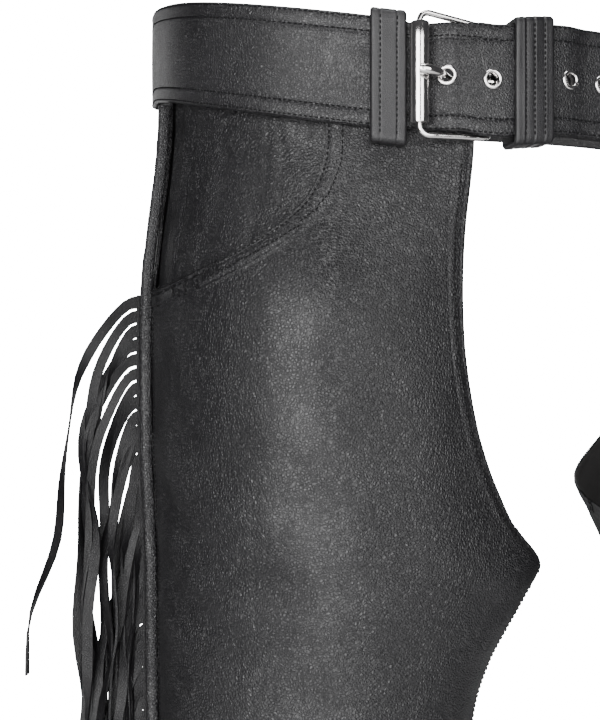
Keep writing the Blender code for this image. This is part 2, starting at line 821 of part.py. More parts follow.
def seam_stations(side):
    """Height, point and outward direction of the seam line at each row of the back panel."""
    top, level = panel_top(OUTSEAM_ANGLE), POCKET_TOP_Z - POCKET_DEPTH
    heights = [mix(top, level, k / BACK_UPPER_ROWS) for k in range(BACK_UPPER_ROWS + 1)]
    heights += [key * MM for key in LOWER_ROWS]
    return [(z, *leg_frame(side, OUTSEAM_ANGLE, z)) for z in heights]


SEAM_STATIONS = {side: seam_stations(side) for side in (RIGHT, LEFT)}


def seam_place(side, z, out, ahead):
    """A point by the outside seam: out from the leg, and ahead of the seam line."""
    stations = SEAM_STATIONS[side]
    low = max(min(next((k for k, row in enumerate(stations) if row[0] <= z), len(stations)), len(stations) - 1), 1)
    (z0, place0, outward0), (z1, place1, outward1) = stations[low - 1], stations[low]
    t = (z - z0) / (z1 - z0)
    place = place0.lerp(place1, t)
    outward = outward0.lerp(outward1, t).normalized()
    forward = Vector((0, 0, 1)).cross(outward).normalized() * side
    if forward.y > 0:
        forward = -forward
    return place + outward * out + forward * ahead


def make_outseam(side, name, home):
    top = panel_top(OUTSEAM_ANGLE) - BELT_WIDTH / 2 + TOP_BELOW_BELT_MIDDLE - SEAM_BELOW_BELT
    stations = [mix(top, -100 * MM, k / 6) for k in range(6)]
    stations += [mix(-100 * MM, HEM_Z, k / 30) for k in range(31)]
    half = SEAM_THICK / 2
    root, shoulder = CLEARANCE, SEAM_HEIGHT * 0.78
    sections = []
    for z in stations:
        sections.append([
            seam_place(side, z, root, half),
            seam_place(side, z, shoulder, half),
            seam_place(side, z, SEAM_HEIGHT, half * 0.4),
            seam_place(side, z, SEAM_HEIGHT, -half),
            seam_place(side, z, root, -half),
        ])
    return loft(name, sections, leather(name + " leather"), home)


def strand_sections(side, index, z_top, z_bottom):
    """Four-cornered sections of one strand, from just outside its root down to its tip."""
    ahead = -SEAM_THICK / 2 - CLEARANCE - STRIP_THICK / 2
    lane = (LANE_ORDER[index % len(LANE_ORDER)] - (len(LANE_ORDER) - 1) / 2) * LANE_SPACING
    z = (z_top + z_bottom) / 2
    limit = z - HEM_Z - FLOOR_CLEARANCE - 4 * MM * (1 + math.sin(index * 1.7))
    uneven = 9 * MM * math.sin(index * 2.4)
    out_column = STRAND_COLUMNS.index("out_right" if side == RIGHT else "out_left")
    steps = [(0.0, 0.0, 0.0, 1.0)]
    for row in STRAND_PATH:
        lane_part, down, width_scale = row[0], row[3] * MM, row[4]
        if row is STRAND_PATH[-1]:
            down += uneven
        step = (lane * lane_part, row[out_column] * MM, down, width_scale)
        if down > limit:
            t = (limit - steps[-1][2]) / (down - steps[-1][2])
            if t > SHORTEST_STEP:
                steps.append(tuple(mix(a, b, t) for a, b in zip(steps[-1], step)))
            break
        steps.append(step)
    path = [seam_place(side, z - down, STRIP_OUTER + out, ahead + shift) for shift, out, down, _ in steps]
    forward = (seam_place(side, z, STRIP_OUTER, ahead + 1 * MM) - path[0]).normalized()
    sections = []
    for k in range(1, len(path)):
        heading = path[min(k + 1, len(path) - 1)] - path[k - 1]
        across = (heading - forward * heading.dot(forward)).cross(forward).normalized() * -side
        width = across * STRAND_WIDTH * steps[k][3] / 2
        thick = forward * STRAND_THICK / 2
        sections.append([path[k] + thick * a + width * b for a, b in ((1, 1), (-1, 1), (-1, -1), (1, -1))])
    return sections


def make_fringe(side, name, home):
    """A narrow strip behind the raised seam, its outer edge cut into strands."""
    count = STRANDS[side]
    pitch = (FRINGE_TOP_Z - FRINGE_BOTTOM_Z) / count
    behind = -SEAM_THICK / 2 - CLEARANCE
    points, faces = [], []
    for k in range(count + 1):
        z = FRINGE_TOP_Z - k * pitch
        for out, ahead in ((CLEARANCE, behind), (STRIP_OUTER, behind),
                           (STRIP_OUTER, behind - STRIP_THICK), (CLEARANCE, behind - STRIP_THICK)):
            points.append(seam_place(side, z, out, ahead))
    faces.append((0, 1, 2, 3))
    last = count * 4
    faces.append((last + 3, last + 2, last + 1, last))
    for k in range(count):
        a, b = k * 4, k * 4 + 4
        faces += [(a, b, b + 1, a + 1), (a + 2, b + 2, b + 3, a + 3), (a + 3, b + 3, b, a)]
        ring = [a + 1, a + 2, b + 2, b + 1]
        z_top, z_bottom = FRINGE_TOP_Z - k * pitch, FRINGE_TOP_Z - (k + 1) * pitch
        for corners in strand_sections(side, k, z_top, z_bottom):
            start = len(points)
            points += corners
            next_ring = [start, start + 1, start + 2, start + 3]
            faces += [(ring[j], ring[(j + 1) % 4], next_ring[(j + 1) % 4], next_ring[j]) for j in range(4)]
            ring = next_ring
        faces.append(tuple(ring))
    thing = add_mesh(name, points, faces, leather(name + " leather"), home)
    face_outwards(thing)
    return thing


def main():
    clear_scene()
    home = make_collection("leather_chaps")
    cutters = make_collection("cutters")
    make_belt(home, cutters)
    make_keeper(home)
    make_wide_loop(home)
    make_buckle(home)
    for side, tag in ((RIGHT, "R"), (LEFT, "L")):
        make_front_panel(side, f"front_panel_{tag}", home)
        make_back_panel(side, f"back_panel_{tag}", home)
        make_pocket_facing(side, f"pocket_facing_{tag}", home)
        make_outseam(side, f"outseam_{tag}", home)
        make_fringe(side, f"fringe_{tag}", home)


main()
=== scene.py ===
# %% [markdown]
# # Fringed leather chaps, dressed over their measured solids
#
# Chaps are two open-seated leather legs that hang from one buckled belt.  This
# lesson lays fine leather, stitching, cut fringe and plated metal over the plain
# solids, which already hold every size.  Nothing here changes those sizes.

# %% Load the frame
import math

import bmesh
import bpy
from mathutils import Matrix, Vector, noise
from mathutils.bvhtree import BVHTree
from mathutils.kdtree import KDTree


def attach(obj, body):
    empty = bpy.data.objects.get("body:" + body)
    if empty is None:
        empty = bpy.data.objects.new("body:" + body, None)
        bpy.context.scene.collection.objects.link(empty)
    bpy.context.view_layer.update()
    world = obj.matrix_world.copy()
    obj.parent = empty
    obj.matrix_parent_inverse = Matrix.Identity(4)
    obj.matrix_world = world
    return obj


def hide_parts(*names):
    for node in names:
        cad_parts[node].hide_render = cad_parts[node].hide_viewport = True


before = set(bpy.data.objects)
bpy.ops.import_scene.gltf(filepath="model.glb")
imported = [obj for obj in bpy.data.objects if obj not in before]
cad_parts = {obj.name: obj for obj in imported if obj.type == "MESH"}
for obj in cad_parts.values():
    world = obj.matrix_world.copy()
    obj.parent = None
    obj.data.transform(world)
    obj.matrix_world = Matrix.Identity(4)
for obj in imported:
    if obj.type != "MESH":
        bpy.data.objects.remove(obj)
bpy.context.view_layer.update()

# %% [markdown]
# ## The maker's sizes
#
# A leather worker writes the cut as a short list of widths, depths and heights.
# The legs are level sections about an axis, and the belt is an oval.  These are
# the same numbers that the solids were made from, so the fine leather lies
# exactly on them.

# %% Waist, belt and buckle sizes
MM = 0.001
RIGHT, LEFT = -1, 1
WAIST_HALF_WIDTH, WAIST_HALF_DEPTH, WAIST_ROUNDNESS = 182 * MM, 124 * MM, 2.5
BELT_CENTRE_RISE = BELT_CENTRE_DEPTH = 4.5 * MM
WAIST_SIDE_DEPTH, BELT_SIDE_RISE, BELT_BACK_RISE = 22 * MM, 40 * MM, 20 * MM
BELT_WIDTH, BELT_THICK, FOLD_THICK, FOLD_WIDTH = 49.5 * MM, 3 * MM, 2 * MM, 40 * MM
PINCH_WIDTH, FOLD_LENGTH, CLEARANCE = 47.2 * MM, 34 * MM, 0.3 * MM
TIP_BEYOND_CENTRE = 42 * MM
LOOP_FROM, LOOP_TO, LOOP_THICK, LOOP_DROP = -118.5 * MM, -104.2 * MM, 2 * MM, 4.4 * MM
KEEPER_FROM, KEEPER_TO, KEEPER_THICK = -59.5 * MM, -41.5 * MM, 1.6 * MM
KEEPER_BEHIND, KEEPER_AHEAD, WRAP_ABOVE = 0.9 * MM, 10.5 * MM, 0.8 * MM
ROLLER_X, HINGE_X, WIRE_RADIUS = -99 * MM, -67.5 * MM, 1.35 * MM
ROLLER_RADIUS, ROLLER_LENGTH, ROLLER_OFFSET, HINGE_OFFSET = 4.15 * MM, 44 * MM, 7.5 * MM, 3.2 * MM
FRAME_HALF_AT_ROLLER, FRAME_HALF_AT_HINGE, FRAME_CORNER = 26.6 * MM, 24.4 * MM, 4 * MM
CURL_RADIUS = 2.7 * MM
FIRST_EYELET_X, EYELET_PITCH, EYELET_COUNT = -88 * MM, 18.9 * MM, 7
EYELET_OUTER, EYELET_INNER, BARREL_OUTER, EYELET_LIP = 4.4 * MM, 2.7 * MM, 3.05 * MM, 0.6 * MM

# %% Leg, pocket and fringe sizes
LEATHER, PANEL_UNDER_BELT, TOP_BELOW_BELT_MIDDLE = 1.8 * MM, 0.8 * MM, 5 * MM
CROTCH_Z, HEM_Z, OUTSEAM_ANGLE = -219 * MM, -1020 * MM, 172.0
CROTCH_ANGLE, FLARE_SPREAD, SEAM_GAP_ANGLE = -44.0, 30.0, 0.35
# Height, half width, half depth and roundness of each level section.
SECTIONS = (
    (0, 80, 108, 2.5), (-100, 82.5, 108, 2.4), (-160, 82.5, 105, 2.3), (-220, 80.5, 99, 2.15),
    (-300, 79.5, 92, 2.05), (-400, 77, 84, 2.0), (-500, 73, 77, 2.0), (-620, 72.5, 76, 2.0),
    (-780, 73, 76, 2.0), (-900, 76, 79, 2.0), (-1020, 79, 82, 2.0),
)
RIGHT_AXIS = ((0, 108, -10), (-300, 108, -10), (-500, 109, -9), (-760, 111, 1), (-1020, 113, 6))
LEFT_AXIS = ((0, 108, -10), (-60, 109, -11), (-100, 116, -16), (-150, 136, -27), (-200, 155.5, -38),
             (-250, 169, -46), (-300, 178.5, -51), (-500, 209, -60), (-760, 228, -50), (-1020, 239, -42))
FLARE = ((0, 0), (-120, 6), (-170, 14), (-196, 21), (-219, 30), (-237, 23), (-254, 15), (-270, 8),
         (-293, 2), (-330, 0), (-1020, 0))
FLY_EDGE = ((20, -71.6), (-27, -71.8), (-68, -73.4), (-98, -73.5), (-121, -72.3), (-152, -68.4),
            (-170, -64.5), (-184, -60.4), (-196, -56.7), (-206, -52.3), (-214, -47.5), (-219, -44))
SEAT_EDGE = ((70, 128), (-50, 127), (-100, 121), (-140, 109), (-170, 92), (-192, 66), (-206, 32),
             (-214, -4), (-219, -44))
INSEAM = ((-219, -44), (-306, -42), (-500, -36), (-1020, -30))
POCKET_TOP_Z, POCKET_TOP_ANGLE, POCKET_DEPTH, POCKET_CURVE = -18 * MM, -108.2, 68.2 * MM, 2.4
FACING_BOTTOM_Z, FACING_FROM_ANGLE, FACING_DEPTH = -101 * MM, -97.0, 3.3 * MM
SEAM_HEIGHT, SEAM_THICK, SEAM_BELOW_BELT = 6 * MM, 4 * MM, 1.8 * MM
FRINGE_TOP_Z, FRINGE_BOTTOM_Z, STRIP_OUTER, STRIP_THICK = -88 * MM, HEM_Z + 34 * MM, 7.2 * MM, 1.4 * MM
print("one leg:", round((-HEM_Z - 5 * MM) / MM), "mm long")

# %% [markdown]
# ## Reading a table smoothly
#
# A table has a few rows, but leather has no corners.  A Hermite curve through
# the rows gives any value in between, with the slope taken from the rows on
# each side.


# %% Table helpers
def mix(a, b, t):
    return a + (b - a) * t


def ease(t):
    t = min(max(t, 0.0), 1.0)
    return t * t * (3 - 2 * t)


def read_table(rows, key, column=1):
    """Smooth value at key; the first column rises or falls all the way."""
    falls = rows[0][0] > rows[-1][0]
    if (key >= rows[0][0]) == falls or key == rows[0][0]:
        return rows[0][column]
    if (key <= rows[-1][0]) == falls or key == rows[-1][0]:
        return rows[-1][column]
    i = next(k for k in range(len(rows) - 1) if (rows[k + 1][0] <= key) == falls)
    x0, x1, y0, y1 = rows[i][0], rows[i + 1][0], rows[i][column], rows[i + 1][column]
    before, after = rows[max(i - 1, 0)], rows[min(i + 2, len(rows) - 1)]
    span = x1 - x0
    t = (key - x0) / span
    m0 = (y1 - before[column]) / (x1 - before[0]) * span
    m1 = (after[column] - y0) / (after[0] - x0) * span
    t2, t3 = t * t, t * t * t
    return (2 * t3 - 3 * t2 + 1) * y0 + (t3 - 2 * t2 + t) * m0 + (3 * t2 - 2 * t3) * y1 + (t3 - t2) * m1


print("half width at the knee:", round(read_table(SECTIONS, -560), 1), "mm")

# %% [markdown]
# ## The waist
#
# The belt follows a rounded oval, low in front and high at the sides.  A place
# on it is given as a length round the oval, a distance out from it and a height,
# which is how a belt is measured on the bench.


# %% Waist oval
def waist_rise(y):
    v = (y + WAIST_HALF_DEPTH) / (WAIST_HALF_DEPTH + WAIST_SIDE_DEPTH)
    rise = BELT_SIDE_RISE * (1 - max(1 - min(v, 1.0), 0) ** 1.15)
    rise += BELT_CENTRE_RISE * ease(1 - (y + WAIST_HALF_DEPTH) / BELT_CENTRE_DEPTH)
    return rise + BELT_BACK_RISE * ease((y - WAIST_SIDE_DEPTH) / (WAIST_HALF_DEPTH - WAIST_SIDE_DEPTH))


def waist_radius(direction, grow=0.0):
    c = abs(math.cos(direction)) / (WAIST_HALF_WIDTH + grow)
    s = abs(math.sin(direction)) / (WAIST_HALF_DEPTH + grow)
    return (c ** WAIST_ROUNDNESS + s ** WAIST_ROUNDNESS) ** (-1 / WAIST_ROUNDNESS)


WAIST_STEPS = 1440
WAIST_POINTS, WAIST_LENGTHS = [], [0.0]
for i in range(WAIST_STEPS + 1):
    turn = -math.pi / 2 + 2 * math.pi * i / WAIST_STEPS
    WAIST_POINTS.append(Vector((math.cos(turn), math.sin(turn), 0)) * waist_radius(turn))
    if i:
        WAIST_LENGTHS.append(WAIST_LENGTHS[-1] + (WAIST_POINTS[i] - WAIST_POINTS[i - 1]).length)
WAIST_ROUND = WAIST_LENGTHS[-1]
print("belt's inner length:", round(WAIST_ROUND * 1000), "mm")


# %% Places on the belt
def waist_frame(s):
    s = s % WAIST_ROUND
    low, high = 0, WAIST_STEPS
    while high - low > 1:
        middle = (low + high) // 2
        low, high = (middle, high) if WAIST_LENGTHS[middle] <= s else (low, middle)
    t = (s - WAIST_LENGTHS[low]) / (WAIST_LENGTHS[high] - WAIST_LENGTHS[low])
    before, after = WAIST_POINTS[(low - 6) % WAIST_STEPS], WAIST_POINTS[(high + 6) % WAIST_STEPS]
    along = (after - before).normalized()
    return WAIST_POINTS[low].lerp(WAIST_POINTS[high], t), Vector((along.y, -along.x, 0)), along


def on_waist(s, out, up):
    point, outward, _ = waist_frame(s)
    place = point + outward * out
    place.z = waist_rise(point.y) + up
    return place


def length_at_x(x):
    best = min(range(WAIST_STEPS // 2 + 1), key=lambda i: abs(WAIST_POINTS[-1 - i].x - x))
    return WAIST_LENGTHS[-1 - best] - WAIST_ROUND


ROLLER_S, HINGE_S = length_at_x(ROLLER_X), length_at_x(HINGE_X)
FIRST_EYELET_S, BUCKLE_RUN = length_at_x(FIRST_EYELET_X), HINGE_S - ROLLER_S
print("buckle's inner length:", round(BUCKLE_RUN * 1000, 1), "mm")

# %% [markdown]
# ## The legs
#
# Each level section is a rounded oval about the leg's axis, with a small flare
# where the inside seam starts.  Just under the belt the section is drawn out to
# the waist oval, so the leather hangs from the belt without a step.  Angles are
# those of the right leg, and the left leg mirrors them.


# %% Leg form
def find_wall(angle):
    low, high = 0.0, 0.4
    c, s = math.cos(math.radians(angle)), math.sin(math.radians(angle))
    for _ in range(30):
        middle = (low + high) / 2
        x, y = -108 * MM + c * middle, -10 * MM + s * middle
        inside = math.hypot(x, y) <= waist_radius(math.atan2(y, x), -PANEL_UNDER_BELT)
        low, high = (middle, high) if inside else (low, middle)
    return low


WALLS = [find_wall(degree) for degree in range(361)]
LEVELS = {}


def level(side, z):
    if (side, z) not in LEVELS:
        key = z / MM
        axis = RIGHT_AXIS if side == RIGHT else LEFT_AXIS
        LEVELS[(side, z)] = (side * read_table(axis, key, 1) * MM, read_table(axis, key, 2) * MM,
                             read_table(SECTIONS, key, 1), read_table(SECTIONS, key, 2),
                             read_table(SECTIONS, key, 3), read_table(FLARE, key))
    return LEVELS[(side, z)]


def wall_radius(angle):
    angle %= 360
    low = int(angle)
    return mix(WALLS[low], WALLS[low + 1], angle - low)


def panel_top(angle):
    return waist_rise(-10 * MM + math.sin(math.radians(angle)) * wall_radius(angle)) - TOP_BELOW_BELT_MIDDLE


def leg_base(side, angle, z):
    x, y, width, depth, roundness, flare = level(side, z)
    c, s = math.cos(math.radians(angle)), math.sin(math.radians(angle))
    radius = ((abs(c) / width) ** roundness + (abs(s) / depth) ** roundness) ** (-1 / roundness)
    away = (angle - CROTCH_ANGLE + 180) % 360 - 180
    radius = (radius + flare * math.exp(-(away / FLARE_SPREAD) ** 2)) * MM
    wall = wall_radius(angle)
    fill = ease((panel_top(angle) - 20 * MM - z) / (100 * MM))
    return Vector((mix(side * 108 * MM - side * c * wall, x - side * c * radius, fill),
                   mix(-10 * MM + s * wall, y + s * radius, fill), z))


def leg_frame(side, angle, z):
    place = leg_base(side, angle, z)
    around = leg_base(side, angle + 0.5, z) - leg_base(side, angle - 0.5, z)
    down = leg_base(side, angle, z - 0.5 * MM) - leg_base(side, angle, z + 0.5 * MM)
    outward = around.cross(down).normalized()
    if outward.dot(Vector((-side * math.cos(math.radians(angle)), math.sin(math.radians(angle)), 0))) < 0:
        outward = -outward
    return place, outward


print("right leg at the knee:", [round(v * 1000) for v in leg_base(RIGHT, -90, -0.5)])

# %% [markdown]
# ## Camera, light and floor
#
# The close-up is taken level with the hip, from the wearer's right front.  The
# leather is dark, so its shape is read from reflections: a broad soft light
# on each side of the camera, narrow ones behind for the rims, and a white surround.


# %% Camera
camera = bpy.data.objects.new("camera", bpy.data.cameras.new("camera"))
bpy.context.scene.collection.objects.link(camera)
camera.data.sensor_fit = "VERTICAL"
camera.data.sensor_height = 36
camera.data.lens = 51.5
camera.data.clip_start = 0.02
camera.location = (-0.3172, -0.5144, -0.121)
camera.rotation_euler = (math.radians(90), 0, math.radians(-22))
bpy.context.scene.camera = camera


# %% Lights
def soft_light(name, place, target, width, height, power):
    data = bpy.data.lights.new(name, "AREA")
    data.shape = "RECTANGLE"
    data.size, data.size_y, data.energy = width, height, power
    light = bpy.data.objects.new(name, data)
    light.location = place
    light.rotation_euler = (Vector(target) - Vector(place)).to_track_quat("-Z", "Y").to_euler()
    bpy.context.scene.collection.objects.link(light)


HIP = (-0.1, -0.08, -0.12)
soft_light("front_left", (-1.66, -1.5, 0.05), HIP, 1.5, 1.7, 78)
soft_light("front_right", (-0.03, -2.18, 0.1), HIP, 1.1, 1.5, 30)
soft_light("back_left", (-0.3, 1.9, 0.0), HIP, 0.8, 1.8, 6)
soft_light("top", (-0.2, -0.5, 1.7), HIP, 0.9, 0.6, 16)
soft_light("back_right", (1.3, 1.3, 0.4), (0, 0, -0.4), 0.8, 1.6, 14)
soft_light("low_fill", (-0.8, -1.6, -0.8), (0, 0, -0.6), 1.2, 0.6, 14)

# %% Surround and floor
world = bpy.data.worlds.new("studio")
bpy.context.scene.world = world
world.use_nodes = True
nodes, links = world.node_tree.nodes, world.node_tree.links
seen, lit = nodes["Background"], nodes.new("ShaderNodeBackground")
seen.inputs["Color"].default_value, seen.inputs["Strength"].default_value = (1, 1, 1, 1), 24.0
lit.inputs["Color"].default_value, lit.inputs["Strength"].default_value = (0.95, 0.95, 1, 1), 0.06
path, blend = nodes.new("ShaderNodeLightPath"), nodes.new("ShaderNodeMixShader")
links.new(path.outputs["Is Camera Ray"], blend.inputs["Fac"])
links.new(lit.outputs[0], blend.inputs[1])
links.new(seen.outputs[0], blend.inputs[2])
links.new(blend.outputs[0], nodes["World Output"].inputs["Surface"])

bm = bmesh.new()
bmesh.ops.create_circle(bm, cap_ends=True, segments=96, radius=1.65)
bmesh.ops.translate(bm, verts=bm.verts, vec=(0, 0, HEM_Z - 12 * MM))
floor = bpy.data.objects.new("floor", bpy.data.meshes.new("floor"))
bm.to_mesh(floor.data)
bm.free()
bpy.context.scene.collection.objects.link(floor)
paint = bpy.data.materials.new("pale floor")
paint.use_nodes = True
paint.node_tree.nodes["Principled BSDF"].inputs["Base Color"].default_value = (0.82, 0.82, 0.82, 1)
paint.node_tree.nodes["Principled BSDF"].inputs["Roughness"].default_value = 0.7
floor.data.materials.append(paint)
print("floor at", round((HEM_Z - 12 * MM) * 1000), "mm")

# %% [markdown]
# ## Leather, thread and plate
#
# Pebble grain is a field of small cushions parted by fine valleys.  It is made
# once, as a node group, and each leather then takes its own cell size, depth and
# gloss.  Long soft creases and a little wear come from noise at a larger scale.
# Its colour is darker in the valleys and lighter on the cushion tops, which is
# painted shade and painted light; larger lighter patches are the leather's own tone.


# %% Node helpers
def node(tree, kind, **inputs):
    made = tree.nodes.new("ShaderNode" + kind)
    for name, value in inputs.items():
        made.inputs[name.replace("_", " ")].default_value = value
    return made


def maths(tree, operation, a, b=0.0):
    made = tree.nodes.new("ShaderNodeMath")
    made.operation = operation
    for socket, value in zip(made.inputs, (a, b)):
        if isinstance(value, (int, float)):
            socket.default_value = value
        else:
            tree.links.new(value, socket)
    return made.outputs[0]


def span(tree, value, low, high, to_low, to_high):
    made = tree.nodes.new("ShaderNodeMapRange")
    made.interpolation_type = "SMOOTHSTEP"
    for name, number in (("From Min", low), ("From Max", high), ("To Min", to_low), ("To Max", to_high)):
        if isinstance(number, (int, float)):
            made.inputs[name].default_value = number
        else:
            tree.links.new(number, made.inputs[name])
    tree.links.new(value, made.inputs["Value"])
    return made.outputs["Result"]


# %% Pebble grain group
def make_grain():
    tree = bpy.data.node_groups.new("pebble grain", "ShaderNodeTree")
    wanted = (("Cells", 600.0), ("Depth", 0.00016), ("Crease", 0.0003), ("Gloss low", 0.36),
              ("Gloss high", 0.56), ("Wear", 0.02))
    for name, value in wanted:
        tree.interface.new_socket(name, in_out="INPUT", socket_type="NodeSocketFloat").default_value = value
    for name in ("Dark", "Light"):
        tree.interface.new_socket(name, in_out="INPUT", socket_type="NodeSocketColor")
    tree.interface.new_socket("Color", in_out="OUTPUT", socket_type="NodeSocketColor")
    tree.interface.new_socket("Roughness", in_out="OUTPUT", socket_type="NodeSocketFloat")
    tree.interface.new_socket("Normal", in_out="OUTPUT", socket_type="NodeSocketVector")
    given, result = tree.nodes.new("NodeGroupInput"), tree.nodes.new("NodeGroupOutput")
    place = tree.nodes.new("ShaderNodeTexCoord").outputs["Object"]
    link = tree.links.new

    warp = node(tree, "TexNoise", Scale=210.0, Detail=2.0)
    link(place, warp.inputs["Vector"])
    bent = tree.nodes.new("ShaderNodeVectorMath")
    bent.operation = "MULTIPLY_ADD"
    bent.inputs[1].default_value = (0.0016, 0.0016, 0.0016)
    link(warp.outputs["Color"], bent.inputs[0])
    link(place, bent.inputs[2])

    cells = node(tree, "TexVoronoi", Randomness=1.0)
    cells.feature = "DISTANCE_TO_EDGE"
    link(given.outputs["Cells"], cells.inputs["Scale"])
    link(bent.outputs[0], cells.inputs["Vector"])
    pebble = span(tree, cells.outputs["Distance"], 0.0, 0.28, 0.0, 1.0)
    fine = node(tree, "TexNoise", Scale=1500.0, Detail=3.0, Roughness=0.6)
    link(place, fine.inputs["Vector"])
    patch = node(tree, "TexNoise", Scale=26.0, Detail=3.0, Roughness=0.55)
    link(place, patch.inputs["Vector"])
    strength = span(tree, patch.outputs["Fac"], 0.32, 0.68, 0.45, 1.0)
    grain = maths(tree, "MULTIPLY", maths(tree, "ADD", pebble, maths(tree, "MULTIPLY", fine.outputs["Fac"], 0.5)),
                  strength)

    crease = node(tree, "TexNoise", Scale=34.0, Detail=4.0, Roughness=0.5, Distortion=0.6)
    link(place, crease.inputs["Vector"])
    bend = tree.nodes.new("ShaderNodeBump")
    link(crease.outputs["Fac"], bend.inputs["Height"])
    link(given.outputs["Crease"], bend.inputs["Distance"])
    bump = tree.nodes.new("ShaderNodeBump")
    link(grain, bump.inputs["Height"])
    link(given.outputs["Depth"], bump.inputs["Distance"])
    link(bend.outputs["Normal"], bump.inputs["Normal"])
    link(bump.outputs["Normal"], result.inputs["Normal"])

    # painted shade and light: the colour is darkened in the grain's valleys and lightened on the cushion tops, and the
    # patch noise adds the leather's own lighter patches
    valley_shade_and_tone = maths(tree, "ADD", maths(tree, "MULTIPLY", pebble, 0.6),
                 span(tree, patch.outputs["Fac"], 0.35, 0.7, 0.0, 0.4))
    colour = tree.nodes.new("ShaderNodeMix")
    colour.data_type = "RGBA"
    link(valley_shade_and_tone, colour.inputs["Factor"])
    link(given.outputs["Dark"], colour.inputs[6])
    link(given.outputs["Light"], colour.inputs[7])
    link(colour.outputs[2], result.inputs["Color"])
    shine = maths(tree, "ADD", maths(tree, "MULTIPLY", maths(tree, "SUBTRACT", 1.0, pebble), given.outputs["Wear"]),
                  span(tree, patch.outputs["Fac"], 0.3, 0.72, given.outputs["Gloss low"], given.outputs["Gloss high"]))
    link(shine, result.inputs["Roughness"])
    return tree


GRAIN = make_grain()
print("grain group nodes:", len(GRAIN.nodes))


# %% Leather materials
def leather(name, cells, depth, crease, low, high, dark, light, coat=0.0, wear=0.12):
    material = bpy.data.materials.new(name)
    material.use_nodes = True
    tree = material.node_tree
    shader = tree.nodes["Principled BSDF"]
    group = tree.nodes.new("ShaderNodeGroup")
    group.node_tree = GRAIN
    for socket, value in (("Cells", cells), ("Depth", depth), ("Crease", crease), ("Gloss low", low),
                          ("Gloss high", high), ("Wear", wear)):
        group.inputs[socket].default_value = value
    group.inputs["Dark"].default_value = (*dark, 1)
    group.inputs["Light"].default_value = (*light, 1)
    tree.links.new(group.outputs["Color"], shader.inputs["Base Color"])
    tree.links.new(group.outputs["Roughness"], shader.inputs["Roughness"])
    tree.links.new(group.outputs["Normal"], shader.inputs["Normal"])
    shader.inputs["Specular IOR Level"].default_value = 0.5
    shader.inputs["Coat Weight"].default_value = coat
    shader.inputs["Coat Roughness"].default_value = 0.3
    return material


# the lighter colour of each leather is reached on the cushion tops, as painted light, and in its own lighter patches;
# the valleys take the darker one as painted shade
BLACK_DEEP, BLACK, BLACK_LIT_TOP_AND_PATCH = (0.003, 0.0028, 0.0033), (0.0055, 0.0052, 0.006), (0.0095, 0.009, 0.0105)
LEG_LEATHER = leather("pebble leather", 740.0, 0.0005, 0.0012, 0.3, 0.4, BLACK, BLACK_LIT_TOP_AND_PATCH, 0.1)
BELT_LEATHER = leather("belt leather", 800.0, 0.0004, 0.0006, 0.28, 0.39, BLACK, BLACK_LIT_TOP_AND_PATCH, 0.12)
STRAP_LEATHER = leather("strap leather", 1200.0, 0.00009, 0.0003, 0.34, 0.46, BLACK, BLACK_LIT_TOP_AND_PATCH, 0.1)
FRINGE_LEATHER = leather("fringe leather", 900.0, 0.00014, 0.0005, 0.34, 0.46, BLACK_DEEP, BLACK, 0.0)
FRINGE_LEATHER.node_tree.nodes["Principled BSDF"].inputs["Specular IOR Level"].default_value = 0.3
FLESH_SIDE = leather("flesh side", 1500.0, 0.0002, 0.0004, 0.82, 0.95, (0.012, 0.011, 0.011),
                     (0.035, 0.033, 0.033), 0.0, 0.0)
print("leathers:", 5)


# %% Thread and plated metal
def plain_material(name, colour, low, high, metallic, scale, depth):
    material = bpy.data.materials.new(name)
    material.use_nodes = True
    tree = material.node_tree
    shader = tree.nodes["Principled BSDF"]
    place = tree.nodes.new("ShaderNodeTexCoord").outputs["Object"]
    mottle = node(tree, "TexNoise", Scale=scale, Detail=3.0)
    tree.links.new(place, mottle.inputs["Vector"])
    tree.links.new(span(tree, mottle.outputs["Fac"], 0.3, 0.7, low, high), shader.inputs["Roughness"])
    bump = tree.nodes.new("ShaderNodeBump")
    bump.inputs["Distance"].default_value = depth
    tree.links.new(mottle.outputs["Fac"], bump.inputs["Height"])
    tree.links.new(bump.outputs["Normal"], shader.inputs["Normal"])
    shader.inputs["Base Color"].default_value = (*colour, 1)
    shader.inputs["Metallic"].default_value = metallic
    return material


NICKEL = plain_material("polished nickel plate", (0.82, 0.8, 0.79), 0.08, 0.2, 1.0, 420.0, 0.00001)
THREAD = plain_material("black thread", BLACK_DEEP, 0.6, 0.8, 0.0, 2600.0, 0.00008)
THREAD.node_tree.nodes["Principled BSDF"].inputs["Specular IOR Level"].default_value = 0.15
print("finishes:", [m.name for m in bpy.data.materials if m.users == 0][:3], "and so on")

# %% [markdown]
# ## Cutting flat and laying on the form
#
# Leather is cut flat and then laid on the body.  So is each piece here: an
# operator makes a flat grid, and each of its points is moved to its place on the
# form.  The same grid with its long sides brought together makes a cord, a
# strap or a rolled seam.


# %% Piece helpers
def keep(name, bm, *materials, smooth=True):
    mesh = bpy.data.meshes.new(name)
    bm.to_mesh(mesh)
    bm.free()
    for material in materials:
        mesh.materials.append(material)
    if smooth:
        mesh.shade_smooth()
    piece = bpy.data.objects.new(name, mesh)
    bpy.context.scene.collection.objects.link(piece)
    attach(piece, "root")
    return piece


def cut_flat(bm, across, along, place):
    """A grid whose point at (column, row) goes to place(column, row)."""
    made = bmesh.ops.create_grid(bm, x_segments=across, y_segments=along, size=1)["verts"]
    for v in made:
        v.co = place(round((v.co.x + 1) / 2 * across), round((v.co.y + 1) / 2 * along))
    return made


